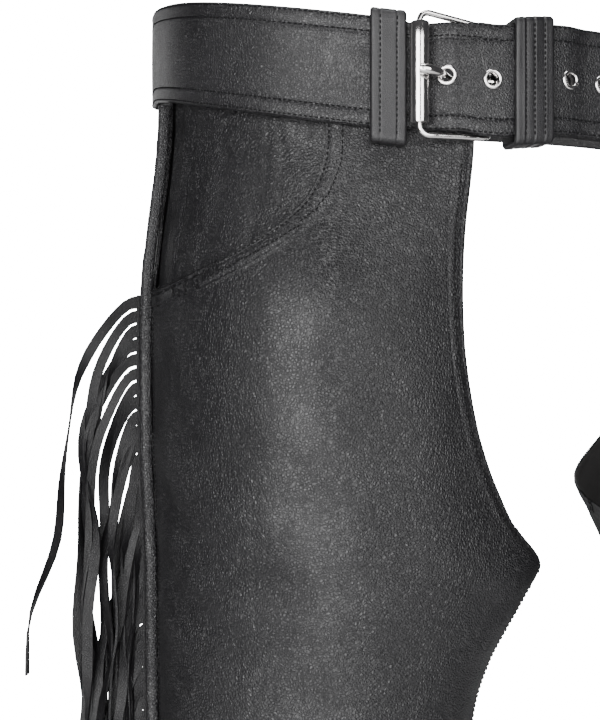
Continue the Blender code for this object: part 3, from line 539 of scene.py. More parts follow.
def roll(bm, around, along, place, closed=False):
    """A tube: a flat grid with its long sides joined, and its ends filled or joined."""
    made = cut_flat(bm, around, along, lambda k, i: place(k % around, i % along if closed else i))
    bmesh.ops.remove_doubles(bm, verts=made, dist=1e-7)
    made = [v for v in made if v.is_valid]
    if not closed:
        rims = list({e for v in made for e in v.link_edges if e.is_boundary})
        bmesh.ops.holes_fill(bm, edges=rims, sides=0)
    faces = list({f for v in made for f in v.link_faces})
    bmesh.ops.recalc_face_normals(bm, faces=faces)
    return made


def thicken(piece, thick):
    wall = piece.modifiers.new("thickness", "SOLIDIFY")
    wall.thickness, wall.offset = thick, -1
    wall.material_offset, wall.material_offset_rim = 1, 0


# %% [markdown]
# ## Folds
#
# Thick leather does not crumple.  It hangs in a few broad, soft waves that pull
# from the hip and the outside seam, and each one fades out at its ends.  A fold
# is a line on the leg, given by angle and height at both ends, with a width and
# a depth: below zero it is a trough.

# %% Fold tables
# angle and height at one end, then at the other, width and depth, all but angles in mm
FRONT_FOLDS = (
    (-182, -150, -132, -176, 11, -1.5), (-176, -164, -112, -206, 12, 1.5), (-180, -186, -126, -220, 10, -1.7),
    (-172, -203, -120, -246, 13, 1.4), (-182, -226, -130, -252, 10, -1.5), (-168, -248, -122, -282, 14, 1.0),
    (-150, -128, -108, -152, 14, 1.0), (-100, -60, -92, -210, 16, -0.9), (-84, -150, -78, -290, 14, 0.9),
    (-110, -235, -78, -262, 16, -1.0), (-70, -218, -58, -280, 9, -1.2), (-118, -300, -66, -318, 18, 1.1),
    (-182, -342, -120, -368, 15, -1.4), (-80, -392, -44, -360, 16, 1.4), (-170, -478, -118, -498, 14, -1.6),
    (-86, -506, -40, -488, 13, -1.8), (-150, -530, -92, -522, 15, 1.4), (-176, -572, -124, -560, 15, -1.2),
    (-92, -612, -46, -628, 18, 1.5), (-168, -700, -116, -722, 20, -1.5), (-78, -790, -36, -762, 20, -1.6),
    (-160, -868, -104, -884, 18, 1.6), (-88, -930, -44, -946, 16, -1.5), (-178, -960, -130, -944, 14, -1.3),
)
BACK_FOLDS = (
    (172, -60, 120, -118, 14, -1.2), (168, -130, 96, -172, 16, 1.4), (150, -196, 40, -232, 13, -1.8),
    (165, -226, 70, -258, 15, 1.5), (120, -262, 10, -244, 12, -1.9), (100, -292, -20, -276, 14, 1.6),
    (170, -330, 110, -350, 16, -1.2), (150, -468, 60, -488, 11, -2.0), (130, -498, 20, -505, 11, 1.8),
    (140, -520, 40, -528, 10, -2.1), (120, -545, 30, -556, 12, 1.7), (150, -575, 70, -590, 13, -1.6),
    (60, -640, 0, -668, 16, 1.5), (165, -742, 80, -762, 18, -1.5), (110, -860, 10, -842, 18, 1.6),
    (150, -930, 50, -950, 15, -1.8), (90, -980, -10, -968, 13, 1.4),
)
FLAT_RADIUS = 88.0


def fold_height(folds, angle, z):
    """Height of the folds at an angle and a height, in metres."""
    x, y, total = math.radians(angle) * FLAT_RADIUS, z / MM, 0.0
    for a0, z0, a1, z1, width, depth in folds:
        if not min(z0, z1) - 4 * width < y < max(z0, z1) + 4 * width:
            continue
        x0, x1 = math.radians(a0) * FLAT_RADIUS, math.radians(a1) * FLAT_RADIUS
        length = math.hypot(x1 - x0, z1 - z0)
        t = ((x - x0) * (x1 - x0) + (y - z0) * (z1 - z0)) / length ** 2
        away = ((x - x0) * (z1 - z0) - (y - z0) * (x1 - x0)) / length
        away += 3.0 * math.sin(t * 3.1 + z0)
        fade = ease((t + 0.25) / 0.5) * ease((1.2 - t) / 0.45)
        total += depth * fade * math.exp(-(away / width) ** 2)
    return total * MM


print("folds:", len(FRONT_FOLDS), "in front,", len(BACK_FOLDS), "behind")

# %% [markdown]
# ## Edges
#
# A raw edge on a garment is turned under and sewn down, so it is a little
# thicker, it rounds over at its rim, and each row of stitches pulls a groove
# into it.  The grid gets closer columns there, so that the grooves have points
# to live on.

# %% Edge relief
INNER_COLUMNS = (0, 0.5, 1.2, 1.8, 2.4, 3.0, 4.2, 6.2, 7.6, 8.2, 8.7, 9.2, 10.2, 12.5, 16)
OUTER_COLUMNS = (16, 11.5, 9.4, 8.2, 7.0, 5.0, 2.6, 1.7, 1.1, 0.5, 0)
EDGE_ROWS = (2.4, 8.7)
POCKET_ROWS = (2.0, 8.2)
POCKET_STEPS = 90
MIDDLE_COLUMNS, CLOSE_COLUMNS, CLOSE_FROM = 26, 38, 62


def turned_edge(d, rows, lift=0.5, groove=0.5):
    """Height of a turned and stitched edge at d mm from its rim, in metres."""
    height = lift * (1 - ease((d - rows[-1] - 0.3) / 1.8))
    for row in rows:
        height -= groove * math.exp(-((d - row) / 0.75) ** 2)
    return (height - 0.75 * max(0.0, 1 - d / 0.9) ** 2) * MM


def degree_length(side, angle, z):
    return (leg_base(side, angle + 1, z) - leg_base(side, angle, z)).length / MM


def column_shares(side, start, end, z_start, z_end):
    """Shares of the way across, close together near both edges, as given in mm."""
    wide = abs(end - start)
    at_start, at_end = wide * degree_length(side, start, z_start), wide * degree_length(side, end, z_end)
    first, last = INNER_COLUMNS[-1] / at_start, 1 - OUTER_COLUMNS[0] / at_end
    shares = [d / at_start for d in INNER_COLUMNS]
    close = max(1 - CLOSE_FROM / at_end, mix(first, last, 0.3))
    shares += [mix(first, close, k / MIDDLE_COLUMNS) for k in range(1, MIDDLE_COLUMNS)]
    shares += [mix(close, last, k / CLOSE_COLUMNS) for k in range(CLOSE_COLUMNS)]
    return shares + [1 - d / at_end for d in OUTER_COLUMNS]


COLUMNS = len(INNER_COLUMNS) + MIDDLE_COLUMNS - 1 + CLOSE_COLUMNS + len(OUTER_COLUMNS)
print("columns across a panel:", COLUMNS)

# %% [markdown]
# ## The panels
#
# Each leg is cut as a front and a back, sewn at the outside and inside seams.
# The front's upper corner is cut away in a curve, and a plain facing shows
# behind it as the pocket.  A row of points runs across the leather at one
# height, so a sloping edge only changes where each row ends.


# %% Rows of the cut
def lower_heights():
    heights = [mix(-104 * MM, CROTCH_Z, k / 36) for k in range(37)]
    return heights + [mix(CROTCH_Z, HEM_Z, k / 206) for k in range(1, 207)]


def pocket_edge(steps):
    """Height and angle along the pocket's curved edge."""
    places = []
    for k in range(steps + 1):
        drop = math.sin(math.radians(90 * k / steps)) ** (2 / POCKET_CURVE)
        reach = max(1 - drop ** POCKET_CURVE, 0) ** (1 / POCKET_CURVE)
        outseam = OUTSEAM_ANGLE - 360
        places.append((POCKET_TOP_Z - POCKET_DEPTH * drop, outseam + (POCKET_TOP_ANGLE - outseam) * reach))
    return places


def even_places(places, count):
    """Places at even distances along a line of (height, angle)."""
    far = [0.0]
    for (z0, a0), (z1, a1) in zip(places, places[1:]):
        far.append(far[-1] + math.hypot((z1 - z0) / MM, math.radians(a1 - a0) * FLAT_RADIUS))
    chosen, n = [], 0
    for k in range(count + 1):
        while n < len(far) - 2 and far[n + 1] < far[-1] * k / count:
            n += 1
        t = (far[-1] * k / count - far[n]) / (far[n + 1] - far[n])
        chosen.append(tuple(mix(a, b, t) for a, b in zip(places[n], places[n + 1])))
    return chosen


def inner_angle(table, z):
    return read_table(table, z / MM) if z >= CROTCH_Z else read_table(INSEAM, z / MM)


def front_rows():
    """Height at the inner edge, then height and angle at the outer edge."""
    fly_top, bottom = panel_top(FLY_EDGE[0][1]), POCKET_TOP_Z - POCKET_DEPTH
    rows = [(mix(fly_top, -22 * MM, k / 6), mix(panel_top(POCKET_TOP_ANGLE), POCKET_TOP_Z, k / 6), POCKET_TOP_ANGLE)
            for k in range(6)]
    curve = even_places(pocket_edge(900), POCKET_STEPS)
    rows += [(mix(-22 * MM, bottom - 6 * MM, k / POCKET_STEPS), z, angle) for k, (z, angle) in enumerate(curve)]
    rows += [(mix(bottom - 6 * MM, -104 * MM, k / 26), mix(bottom, -104 * MM, k / 26), OUTSEAM_ANGLE - 360)
             for k in range(1, 26)]
    return rows + [(z, z, OUTSEAM_ANGLE - 360) for z in lower_heights()]


def back_rows():
    level_z, top_out, top_in = POCKET_TOP_Z - POCKET_DEPTH, panel_top(OUTSEAM_ANGLE), panel_top(SEAT_EDGE[0][1])
    rows = [(mix(top_in, level_z, k / 44), mix(top_out, level_z, k / 44)) for k in range(44)]
    rows += [(mix(level_z, -104 * MM, k / 5),) * 2 for k in range(5)]
    return [(z_in, z_out, OUTSEAM_ANGLE) for z_in, z_out in rows] + [(z, z, OUTSEAM_ANGLE) for z in lower_heights()]


print("rows down a front:", len(front_rows()), "and a back:", len(back_rows()))


# %% Laying a panel
EDGE_LINES, EDGE_TREES, SURFACES = {}, {}, {}


def lay_edge_lines(side):
    """The pocket curve, fly edge and seat edge of a leg, as close rows of points."""
    pocket = [leg_base(side, POCKET_TOP_ANGLE, POCKET_TOP_Z + k * MM / 2) for k in range(50, 0, -1)]
    EDGE_LINES[(side, "pocket")] = pocket + [leg_base(side, angle, z) for z, angle in pocket_edge(600)]
    for kind, table, gap in (("fly", FLY_EDGE, -SEAM_GAP_ANGLE), ("seat", SEAT_EDGE, SEAM_GAP_ANGLE)):
        top = panel_top(table[0][1])
        heights = [mix(top, CROTCH_Z, 1 - (1 - k / 1000) ** 1.6) for k in range(1001)]
        EDGE_LINES[(side, kind)] = [leg_base(side, inner_angle(table, z) + gap, z) for z in heights]
        heights = [mix(CROTCH_Z - 0.2 * MM, HEM_Z, k / 2400) for k in range(2401)]
        EDGE_LINES[(side, kind + " inseam")] = [leg_base(side, inner_angle(table, z) + gap, z) for z in heights]
    for kind, extra in (("pocket", 0), ("fly", 200), ("seat", 200)):
        points = EDGE_LINES[(side, kind)] + EDGE_LINES.get((side, kind + " inseam"), [])[:extra]
        tree = KDTree(len(points))
        for k, point in enumerate(points):
            tree.insert(point, k)
        tree.balance()
        EDGE_TREES[(side, kind)] = tree


def edge_distance(side, kind, place):
    return EDGE_TREES[(side, kind)].find(place)[2] / MM


for side in (RIGHT, LEFT):
    lay_edge_lines(side)


def lay_panel(name, side, rows, table, folds, gap, front):
    """One leg panel, laid on the leg and raised by its folds and turned edges."""
    bm = bmesh.new()
    spots = {}
    for i, (z_in, z_out, end) in enumerate(rows):
        start = inner_angle(table, z_in) - gap
        end += gap
        for k, t in enumerate(column_shares(side, start, end, z_in, z_out)):
            spots[(k, i)] = (mix(start, end, t), mix(z_in, z_out, t), t)
    last = len(rows) - 1
    order = {}

    def place(k, i):
        angle, z, t = spots[(k, i)]
        point = leg_base(side, angle, z)
        order[tuple(point)] = (k, i)
        return point

    made = cut_flat(bm, COLUMNS - 1, last, place)
    bm.normal_update()
    if made[len(made) // 2].normal.dot(made[len(made) // 2].co - Vector((*level(side, -0.4)[:2], 0))) < 0:
        bmesh.ops.reverse_faces(bm, faces=bm.faces)
        bm.normal_update()
    for v in made:
        k, i = order[tuple(v.co)]
        angle, z, t = spots[(k, i)]
        height = fold_height(folds, angle, z)
        inner_d = INNER_COLUMNS[k] if k < len(INNER_COLUMNS) else 99
        if z > CROTCH_Z - 25 * MM and k < COLUMNS * 0.75:
            inner_d = min(inner_d, edge_distance(side, "fly" if front else "seat", v.co))
        below = ease((CROTCH_Z - z) / (30 * MM))
        edge = mix(turned_edge(inner_d, EDGE_ROWS), turned_edge(inner_d, (2.4,), 0.7), below)
        height = height * ease(inner_d / 25 + 0.2) + edge
        if front and z > -112 * MM and angle < -90:
            height += turned_edge(edge_distance(side, "pocket", v.co), POCKET_ROWS, 1.2, 0.85)
        height += 0.4 * turned_edge((z - HEM_Z) / MM, (8.0,))
        v.co = v.co + v.normal * height
    bm.normal_update()
    SURFACES[name] = BVHTree.FromBMesh(bm)
    piece = keep(name + "_leather", bm, LEG_LEATHER, FLESH_SIDE)
    thicken(piece, LEATHER)
    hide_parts(name)
    return piece


# %% Fronts and backs
PANELS = {}
for side, tag in ((RIGHT, "R"), (LEFT, "L")):
    PANELS["front_panel_" + tag] = lay_panel("front_panel_" + tag, side, front_rows(), FLY_EDGE, FRONT_FOLDS,
                                             SEAM_GAP_ANGLE, True)
    PANELS["back_panel_" + tag] = lay_panel("back_panel_" + tag, side, back_rows(), SEAT_EDGE, BACK_FOLDS,
                                            -SEAM_GAP_ANGLE, False)
for name, piece in PANELS.items():
    print(name, len(piece.data.polygons), "faces")

# %% [markdown]
# ## The pocket facing
#
# Behind the pocket's curve lies a plain piece of the same leather.  It is
# pulled a little between the belt and the outside seam, which draws fine
# upright creases into it.

# %% Facings
FACING_FOLDS = (
    (-128, -12, -131, -78, 1.5, -0.5), (-132.5, -30, -129, -84, 1.3, -0.45), (-124, -18, -121, -60, 1.8, -0.4),
    (-137, -20, -134, -70, 2.2, 0.45), (-119, -14, -116, -50, 2.6, 0.45), (-146, -6, -150, -80, 6, -0.9),
    (-166, 2, -167, -84, 1.4, -0.7), (-172, 4, -173, -84, 4, 0.6), (-113, -10, -111, -30, 2, -0.45),
    (-127, -40, -118, -54, 2.4, -0.45), (-106, -8, -112, -84, 9, 0.6), (-160, -20, -156, -86, 2.4, 0.5),
)
SEAM_ALLOWANCE = 14.0


def lay_facing(name, side):
    bm = bmesh.new()
    across, down = 96, 64
    spots = {}

    def place(k, i):
        angle = mix(FACING_FROM_ANGLE, OUTSEAM_ANGLE - 360 - SEAM_ALLOWANCE, k / across)
        z = mix(panel_top(angle), FACING_BOTTOM_Z, i / down)
        point, outward = leg_frame(side, angle, z)
        waves = fold_height(FACING_FOLDS, angle, z) + 0.25 * MM * noise.noise(point * 60)
        past_seam = 1.2 * MM * ease((OUTSEAM_ANGLE - 360 - angle) / 4)
        return point + outward * (min(waves, 0.9 * MM) - FACING_DEPTH - past_seam)

    made = cut_flat(bm, across, down, place)
    bm.normal_update()
    if made[len(made) // 2].normal.dot(made[len(made) // 2].co - Vector((*level(side, -0.05)[:2], 0))) < 0:
        bmesh.ops.reverse_faces(bm, faces=bm.faces)
    SURFACES[name] = BVHTree.FromBMesh(bm)
    piece = keep(name + "_leather", bm, LEG_LEATHER, FLESH_SIDE)
    thicken(piece, LEATHER)
    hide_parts(name)
    return piece


for side, tag in ((RIGHT, "R"), (LEFT, "L")):
    PANELS["pocket_facing_" + tag] = lay_facing("pocket_facing_" + tag, side)
print("pieces of leather so far:", len(PANELS))

# %% [markdown]
# ## The raised outside seam
#
# The two panels meet in a rolled seam that stands off the leg like piping.  It
# is a tube: a section of a few points carried down the seam, with small lumps
# where the stitches pull it in.


# %% Seam places
SEAM_LINE = {}


def seam_place(side, z, out, ahead):
    """A place by the outside seam: out from the leg, and ahead of the seam line."""
    key = (side, round(z / MM))
    if key not in SEAM_LINE:
        point, outward = leg_frame(side, OUTSEAM_ANGLE, key[1] * MM)
        forward = Vector((0, 0, 1)).cross(outward).normalized() * side
        SEAM_LINE[key] = (point, outward, -forward if forward.y > 0 else forward)
    point, outward, forward = SEAM_LINE[key]
    return point + Vector((0, 0, z - key[1] * MM)) + outward * out + forward * ahead


SEAM_SECTION = ((0.3, 2.0), (1.6, 2.35), (3.2, 2.4), (4.6, 2.15), (5.5, 1.5), (6.0, 0.4), (5.95, -0.8), (5.4, -1.7),
                (4.2, -2.0), (2.4, -2.0), (0.9, -2.0), (0.3, -1.6))


def roll_seam(name, side):
    top = panel_top(OUTSEAM_ANGLE) - BELT_WIDTH / 2 + TOP_BELOW_BELT_MIDDLE - SEAM_BELOW_BELT
    bm = bmesh.new()
    along = 420

    def place(k, i):
        z = mix(top, HEM_Z + 1 * MM, i / along)
        out, ahead = SEAM_SECTION[k]
        lump = 1 + 0.07 * noise.noise(Vector((k * 0.6, z * 170, side * 5))) + 0.04 * noise.noise(Vector((9, z * 42, side)))
        return seam_place(side, z, max(out * MM * lump, 0.3 * MM), ahead * MM * lump)

    roll(bm, len(SEAM_SECTION), along, place)
    SURFACES[name] = BVHTree.FromBMesh(bm)
    piece = keep(name + "_leather", bm, LEG_LEATHER)
    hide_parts(name)
    return piece


for side, tag in ((RIGHT, "R"), (LEFT, "L")):
    PANELS["outseam_" + tag] = roll_seam("outseam_" + tag, side)
print("seam roll:", round(SEAM_HEIGHT / MM), "mm high")

# %% [markdown]
# ## The cut fringe
#
# The fringe is one strip of leather, slit into strands and sewn into the seam.
# Each strand leaves the seam almost level, arches over and falls, twisting as it
# goes.  The upper strands spring out furthest, because nothing lies over them;
# those below are held in by the ones above.

# %% Fringe tables
FRINGE_PITCH = 7.3 * MM
STRAND_WIDTH, STRAND_THICK = 4.9 * MM, 1.1 * MM
# share of the strand's length, share of its reach, share of its drop
ARCH = ((0, 0, 0), (0.03, 0.18, 0.006), (0.07, 0.4, 0.04), (0.12, 0.64, 0.095), (0.17, 0.83, 0.15), (0.22, 0.94, 0.205),
        (0.3, 1.0, 0.29), (0.45, 1.0, 0.45), (0.7, 1.0, 0.71), (1, 1, 1))
# reach, outward drift of the tip, drop, all in mm, for the strands from the top
UPPER_STRANDS = ((30, 29, 184), (27, 6, 206), (22, 12, 214), (27, 2, 196), (29, -4, 203), (25, 3, 208), (18, 8, 190),
                 (22, -6, 212), (16, 6, 204), (13, 14, 198), (17, 4, 208), (9, 8, 200), (12, 14, 206), (7, 6, 196))


def strand_sizes(side, i):
    """Reach, drift, drop, sideways lean and twist of strand i."""
    chance = [noise.noise(Vector((i * 7.13 + 0.37, j * 3.7 + 0.21, side * 2.9))) for j in range(6)]
    if i < len(UPPER_STRANDS):
        reach, drift, drop = UPPER_STRANDS[i]
    else:
        reach, drift, drop = 13 + 14 * chance[0], 9 + 22 * chance[1], 200 + 26 * chance[2]
    if side == LEFT:
        drift *= 0.6
    return reach, drift, drop, 24 * chance[3], math.radians(230 * chance[4]), chance[5]


print("first strands:", [tuple(round(v) for v in strand_sizes(RIGHT, i)[:3]) for i in (0, 5, 20)])


# %% Cutting the strands
def add_strand(bm, side, i, z_root):
    reach, drift, drop, lean, twist, chance = strand_sizes(side, i)
    drop = min(drop, (z_root - HEM_Z) / MM - 8 - 4 * (1 + math.sin(i * 1.7)))
    ahead0 = -SEAM_THICK / 2 - CLEARANCE - STRIP_THICK / 2
    along = 26
    route = []
    for j in range(along + 1):
        t = j / along
        t = t * (0.45 + 0.55 * t)
        wave = 2.2 * math.sin(9 * t + i * 2.1) * ease(t * 3) + 1.4 * math.sin(17 * t + i) * ease(t * 2)
        out = reach * read_table(ARCH, t, 1) + drift * max(t - 0.18, 0) / 0.82 + wave
        away = lean * ease(t * 1.6) * 0.45 + 2.5 * math.sin(6 * t + i * 1.3) * ease(t * 3)
        route.append(seam_place(side, z_root - drop * read_table(ARCH, t, 2) * MM,
                                STRIP_OUTER - 1.2 * MM + max(out, 0) * MM, ahead0 + away * MM))
    forward = (seam_place(side, z_root, 0, 1 * MM) - seam_place(side, z_root, 0, 0)).normalized()

    def place(k, j):
        t = j / along
        heading = (route[min(j + 1, along)] - route[max(j - 1, 0)]).normalized()
        level_way = heading.cross(forward).normalized()
        flat_way = level_way.cross(heading).normalized()
        turn = twist * ease((t - 0.04) / 0.55) + 0.5 * math.sin(11 * t + i * 1.9) * ease(t * 4)
        wide = level_way * math.cos(turn) + flat_way * math.sin(turn)
        thin = heading.cross(wide)
        width = STRAND_WIDTH * (1 + 0.42 * max(1 - t / 0.09, 0) + 0.12 * chance)
        a, b = ((0.5, 0.5), (-0.5, 0.5), (-0.5, -0.5), (0.5, -0.5))[k]
        return route[j] + wide * width * a + thin * STRAND_THICK * b

    roll(bm, 4, along, place)


def cut_fringe(name, side):
    bm = bmesh.new()
    z0, z1 = FRINGE_TOP_Z, FRINGE_BOTTOM_Z
    count = int((z0 - z1) / FRINGE_PITCH)
    behind = -SEAM_THICK / 2 - CLEARANCE
    corners = ((0.3, 0), (STRIP_OUTER / MM, 0), (STRIP_OUTER / MM, -1.4), (0.3, -1.4))
    roll(bm, 4, 240, lambda k, j: seam_place(side, mix(z0, z1, j / 240), corners[k][0] * MM,
                                             behind + corners[k][1] * MM))
    for i in range(count):
        strand = bmesh.new()
        add_strand(strand, side, i, z0 - (i + 0.5) * FRINGE_PITCH)
        loose = bpy.data.meshes.new("strand")
        strand.to_mesh(loose)
        strand.free()
        bm.from_mesh(loose)
        bpy.data.meshes.remove(loose)
    piece = keep(name + "_leather", bm, FRINGE_LEATHER)
    piece.data.set_sharp_from_angle(angle=math.radians(50))
    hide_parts(name)
    return piece, count


for side, tag in ((RIGHT, "R"), (LEFT, "L")):
    PANELS["fringe_" + tag], strands = cut_fringe("fringe_" + tag, side)
    print("strands on side", tag, strands, "faces", len(PANELS["fringe_" + tag].data.polygons))

# %% [markdown]
# ## The belt
#
# A good belt strap is two layers about a filler, so its face is slightly
# crowned, its edges are rounded, and the stitch rows sit in pressed grooves.
# That section is carried along the belt's middle line: round the buckle's bar,
# round the waist, and back through the buckle to the cut tip.

# %% Belt section
STITCH_IN, EDGE_ROW_IN = 7.25, 1.45


def strap_outline(width, thick, crown=0.35, groove=0.4, edge_row=True):
    """Points round a strap: (height, out), outer face first, all in mm."""
    half = width / 2
    squeeze = min(1, half / 20)
    ups = [half - d * squeeze for d in (0, 0.35, 0.8, 1.2, 1.7, 2.3, 4.2, 6.3, 6.9, 7.25, 7.6, 8.2, 10.5)]
    ups += [half * f for f in (0.36, 0.12)]
    ups = ups + [-u for u in reversed(ups)]
    outline = []
    for u in ups:
        d = (half - abs(u)) / squeeze
        out = thick / 2 + crown * math.cos(u / half * math.pi / 2) ** 0.7 - crown * 0.55
        out -= groove * math.exp(-((d - STITCH_IN) / 0.55) ** 2)
        if edge_row:
            out -= 0.25 * math.exp(-((d - EDGE_ROW_IN) / 0.35) ** 2)
        out -= thick * 0.5 * max(0, 1 - d / 1.1) ** 2
        outline.append((u, out))
    for u in (-half, -half + 0.5, -half + 1.4, -half * 0.5, half * 0.5, half - 1.4, half - 0.5, half):
        d = half - abs(u)
        outline.append((u, -thick / 2 + thick * 0.42 * max(0, 1 - d / 1.1) ** 2))
    return outline


OUTLINE_POINTS = len(strap_outline(49.5, 3))
print("points round the strap:", OUTLINE_POINTS)

# %% [markdown]
# ## The belt's middle line
#
# The line is a list of stops: how far round the waist, how far out, how wide and
# how thick.  It starts with the folded end behind, turns round the hinge bar,
# goes all the way round the waist, and climbs over its own start to the tip.

# %% Belt stops
OVERLAP_LIFT, BELT_MIDDLE = 3.8 * MM, BELT_THICK / 2
FREE_END = ((-0.7, 1.5, 49.5), (-0.45, 1.5, 49.5), (-0.2, 1.5, 47.2), (0.0, 1.5, 47.2), (0.13, 2.5, 47.2),
            (0.25, 4.9, 47.2), (0.36, 7.0, 47.2), (0.48, 8.3, 47.2), (0.6, 8.7, 47.2), (0.8, 8.75, 49.5),
            (1.0, 8.75, 49.5))
OVER_FOLD = ((0.0, 8.75), (0.2, 8.7), (0.4, 7.95), (0.7, 7.3), (1.0, 7.1))
SETTLED_S = HINGE_S + FOLD_LENGTH + 14 * MM
RESTING = BELT_THICK + CLEARANCE + BELT_MIDDLE


def buckle_s(f):
    return ROLLER_S + f * BUCKLE_RUN


def strap_middle(s):
    """How far out the free end's middle lies at s."""
    f = (s - ROLLER_S) / BUCKLE_RUN
    if f <= 1:
        return read_table(FREE_END, max(f, FREE_END[0][0])) * MM
    t = (s - HINGE_S) / FOLD_LENGTH
    if t < 1:
        return read_table(OVER_FOLD, t) * MM
    return mix(OVER_FOLD[-1][1] * MM, RESTING, ease((s - HINGE_S - FOLD_LENGTH) / (14 * MM)))


def belt_stops():
    """Each stop: a place, the outward direction, width, thickness and the length along."""
    stops = []

    def at(s, middle, width, thick, turned=1):
        ahead = on_waist(s + 0.5 * MM, middle, 0) - on_waist(s - 0.5 * MM, middle, 0)
        outward = ahead.normalized().cross(Vector((0, 0, 1))).normalized()
        stops.append((on_waist(s, middle, 0), outward * turned, width, thick))

    behind = HINGE_OFFSET - CURL_RADIUS
    for k in range(13):
        t = 1 - k * 0.88 / 12
        at(HINGE_S + t * FOLD_LENGTH, mix(behind, FOLD_THICK / 2, ease(t * 1.4)), FOLD_WIDTH, FOLD_THICK, -1)
    for k in range(15):
        turn = math.radians(-90 - 180 * k / 14)
        place = on_waist(HINGE_S + math.cos(turn) * CURL_RADIUS, HINGE_OFFSET + math.sin(turn) * CURL_RADIUS, 0)
        stops.append((place, place - on_waist(HINGE_S, HINGE_OFFSET, 0), FOLD_WIDTH, FOLD_THICK))
    for k in range(1, 15):
        t = 0.1 + 0.9 * k / 14
        settle = ease(t * 1.6)
        at(HINGE_S + t * FOLD_LENGTH, mix(HINGE_OFFSET + CURL_RADIUS, OVERLAP_LIFT, settle),
           mix(FOLD_WIDTH, BELT_WIDTH, ease(t * 1.2)), mix(FOLD_THICK, BELT_THICK, settle))
    for k in range(1, 6):
        t = k / 5
        at(mix(HINGE_S + FOLD_LENGTH, SETTLED_S, t), mix(OVERLAP_LIFT, BELT_MIDDLE, ease(t)), BELT_WIDTH, BELT_THICK)
    arrive = WAIST_ROUND + buckle_s(FREE_END[0][0])
    for k in range(1, 400):
        at(mix(SETTLED_S, arrive, k / 400), BELT_MIDDLE, BELT_WIDTH, BELT_THICK)
    for k in range(56):
        f = mix(FREE_END[0][0], 1.0, k / 56)
        at(buckle_s(f), strap_middle(buckle_s(f)), read_table(FREE_END, f, 2) * MM, BELT_THICK)
    tip_start = TIP_BEYOND_CENTRE - BELT_WIDTH / 2
    for k in range(64):
        s = mix(HINGE_S, tip_start, k / 64)
        at(s, strap_middle(s), BELT_WIDTH, BELT_THICK)
    for k in range(19):
        angle = math.radians(4.6 * k)
        at(tip_start + BELT_WIDTH / 2 * math.sin(angle), RESTING,
           max(BELT_WIDTH * math.cos(angle) ** 0.8, 12 * MM), BELT_THICK)
    return stops


print("belt stops:", len(belt_stops()))


# %% Belt strap
def carry_strap(bm, stops, outline=strap_outline, ripple=0.12):
    """A strap outline carried along its stops; its height shrinks with the width."""
    rings = []
    for place, outward, width, thick in stops:
        outward = outward.normalized()
        soft = 1 + ripple * noise.noise(place * 38)
        rings.append([place + Vector((0, 0, up * MM)) + outward * out * soft * MM
                      for up, out in outline(width / MM, thick / MM)])
    return roll(bm, len(rings[0]), len(rings) - 1, lambda k, i: rings[i][k])


def cut_eyelet_holes(piece):
    """Holes for the eyelets and the notch for the prong, cut and applied."""
    for i in range(EYELET_COUNT):
        place, axis = eyelet_place(i)
        bore = bmesh.new()
        bmesh.ops.create_cone(bore, cap_ends=True, segments=28, radius1=BARREL_OUTER + CLEARANCE,
                              radius2=BARREL_OUTER + CLEARANCE, depth=BELT_THICK * (1.9 if i == 0 else 1.34))
        turn = Matrix.Translation(place) @ axis.to_track_quat("Z", "Y").to_matrix().to_4x4()
        bmesh.ops.transform(bore, matrix=turn, verts=bore.verts)
        take_away(piece, bore)
    _, outward, along = waist_frame(HINGE_S)
    across = Matrix((along, Vector((0, 0, 1)), outward)).transposed().to_4x4()
    notch = bmesh.new()
    bmesh.ops.create_cube(notch, size=1)
    bmesh.ops.transform(notch, verts=notch.verts, matrix=Matrix.Translation(
        on_waist(HINGE_S + 1.5 * MM, HINGE_OFFSET, 0)) @ across @ Matrix.Diagonal((12 * MM, 6.5 * MM, 7.7 * MM, 1)))
    take_away(piece, notch)


def take_away(piece, cutter_bm):
    cutter = bpy.data.objects.new("cutter", bpy.data.meshes.new("cutter"))
    bmesh.ops.recalc_face_normals(cutter_bm, faces=cutter_bm.faces)
    cutter_bm.to_mesh(cutter.data)
    cutter_bm.free()
    bpy.context.scene.collection.objects.link(cutter)
    hole = piece.modifiers.new("hole", "BOOLEAN")
    hole.operation, hole.solver, hole.object = "DIFFERENCE", "EXACT", cutter
    bpy.context.view_layer.update()
    baked = bpy.data.meshes.new_from_object(piece.evaluated_get(bpy.context.evaluated_depsgraph_get()))
    piece.modifiers.clear()
    old, piece.data = piece.data, baked
    bpy.data.meshes.remove(old)
    bpy.data.objects.remove(cutter, do_unlink=True)


def eyelet_place(i):
    s, step = FIRST_EYELET_S + i * EYELET_PITCH, 1 * MM
    back, fore = on_waist(s - step, strap_middle(s - step), 0), on_waist(s + step, strap_middle(s + step), 0)
    axis = (fore - back).normalized().cross(Vector((0, 0, 1))).normalized()
    return on_waist(s, strap_middle(s), 0), axis


bm = bmesh.new()
carry_strap(bm, belt_stops())
SURFACES["belt"] = BVHTree.FromBMesh(bm)
belt = keep("belt_leather", bm, BELT_LEATHER)
cut_eyelet_holes(belt)
belt.data.shade_smooth()
belt.data.set_sharp_from_angle(angle=math.radians(55))
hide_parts("belt")
print("belt faces:", len(belt.data.polygons))

# %% [markdown]
# ## Keeper and wide loop
#
# Two short straps cross the belt.  The keeper is a closed band that holds the
# free end down.  The wide loop beside the buckle wraps over the belt and is sewn
# to the leg below it.  Each is a narrow padded strap bent round the belt.


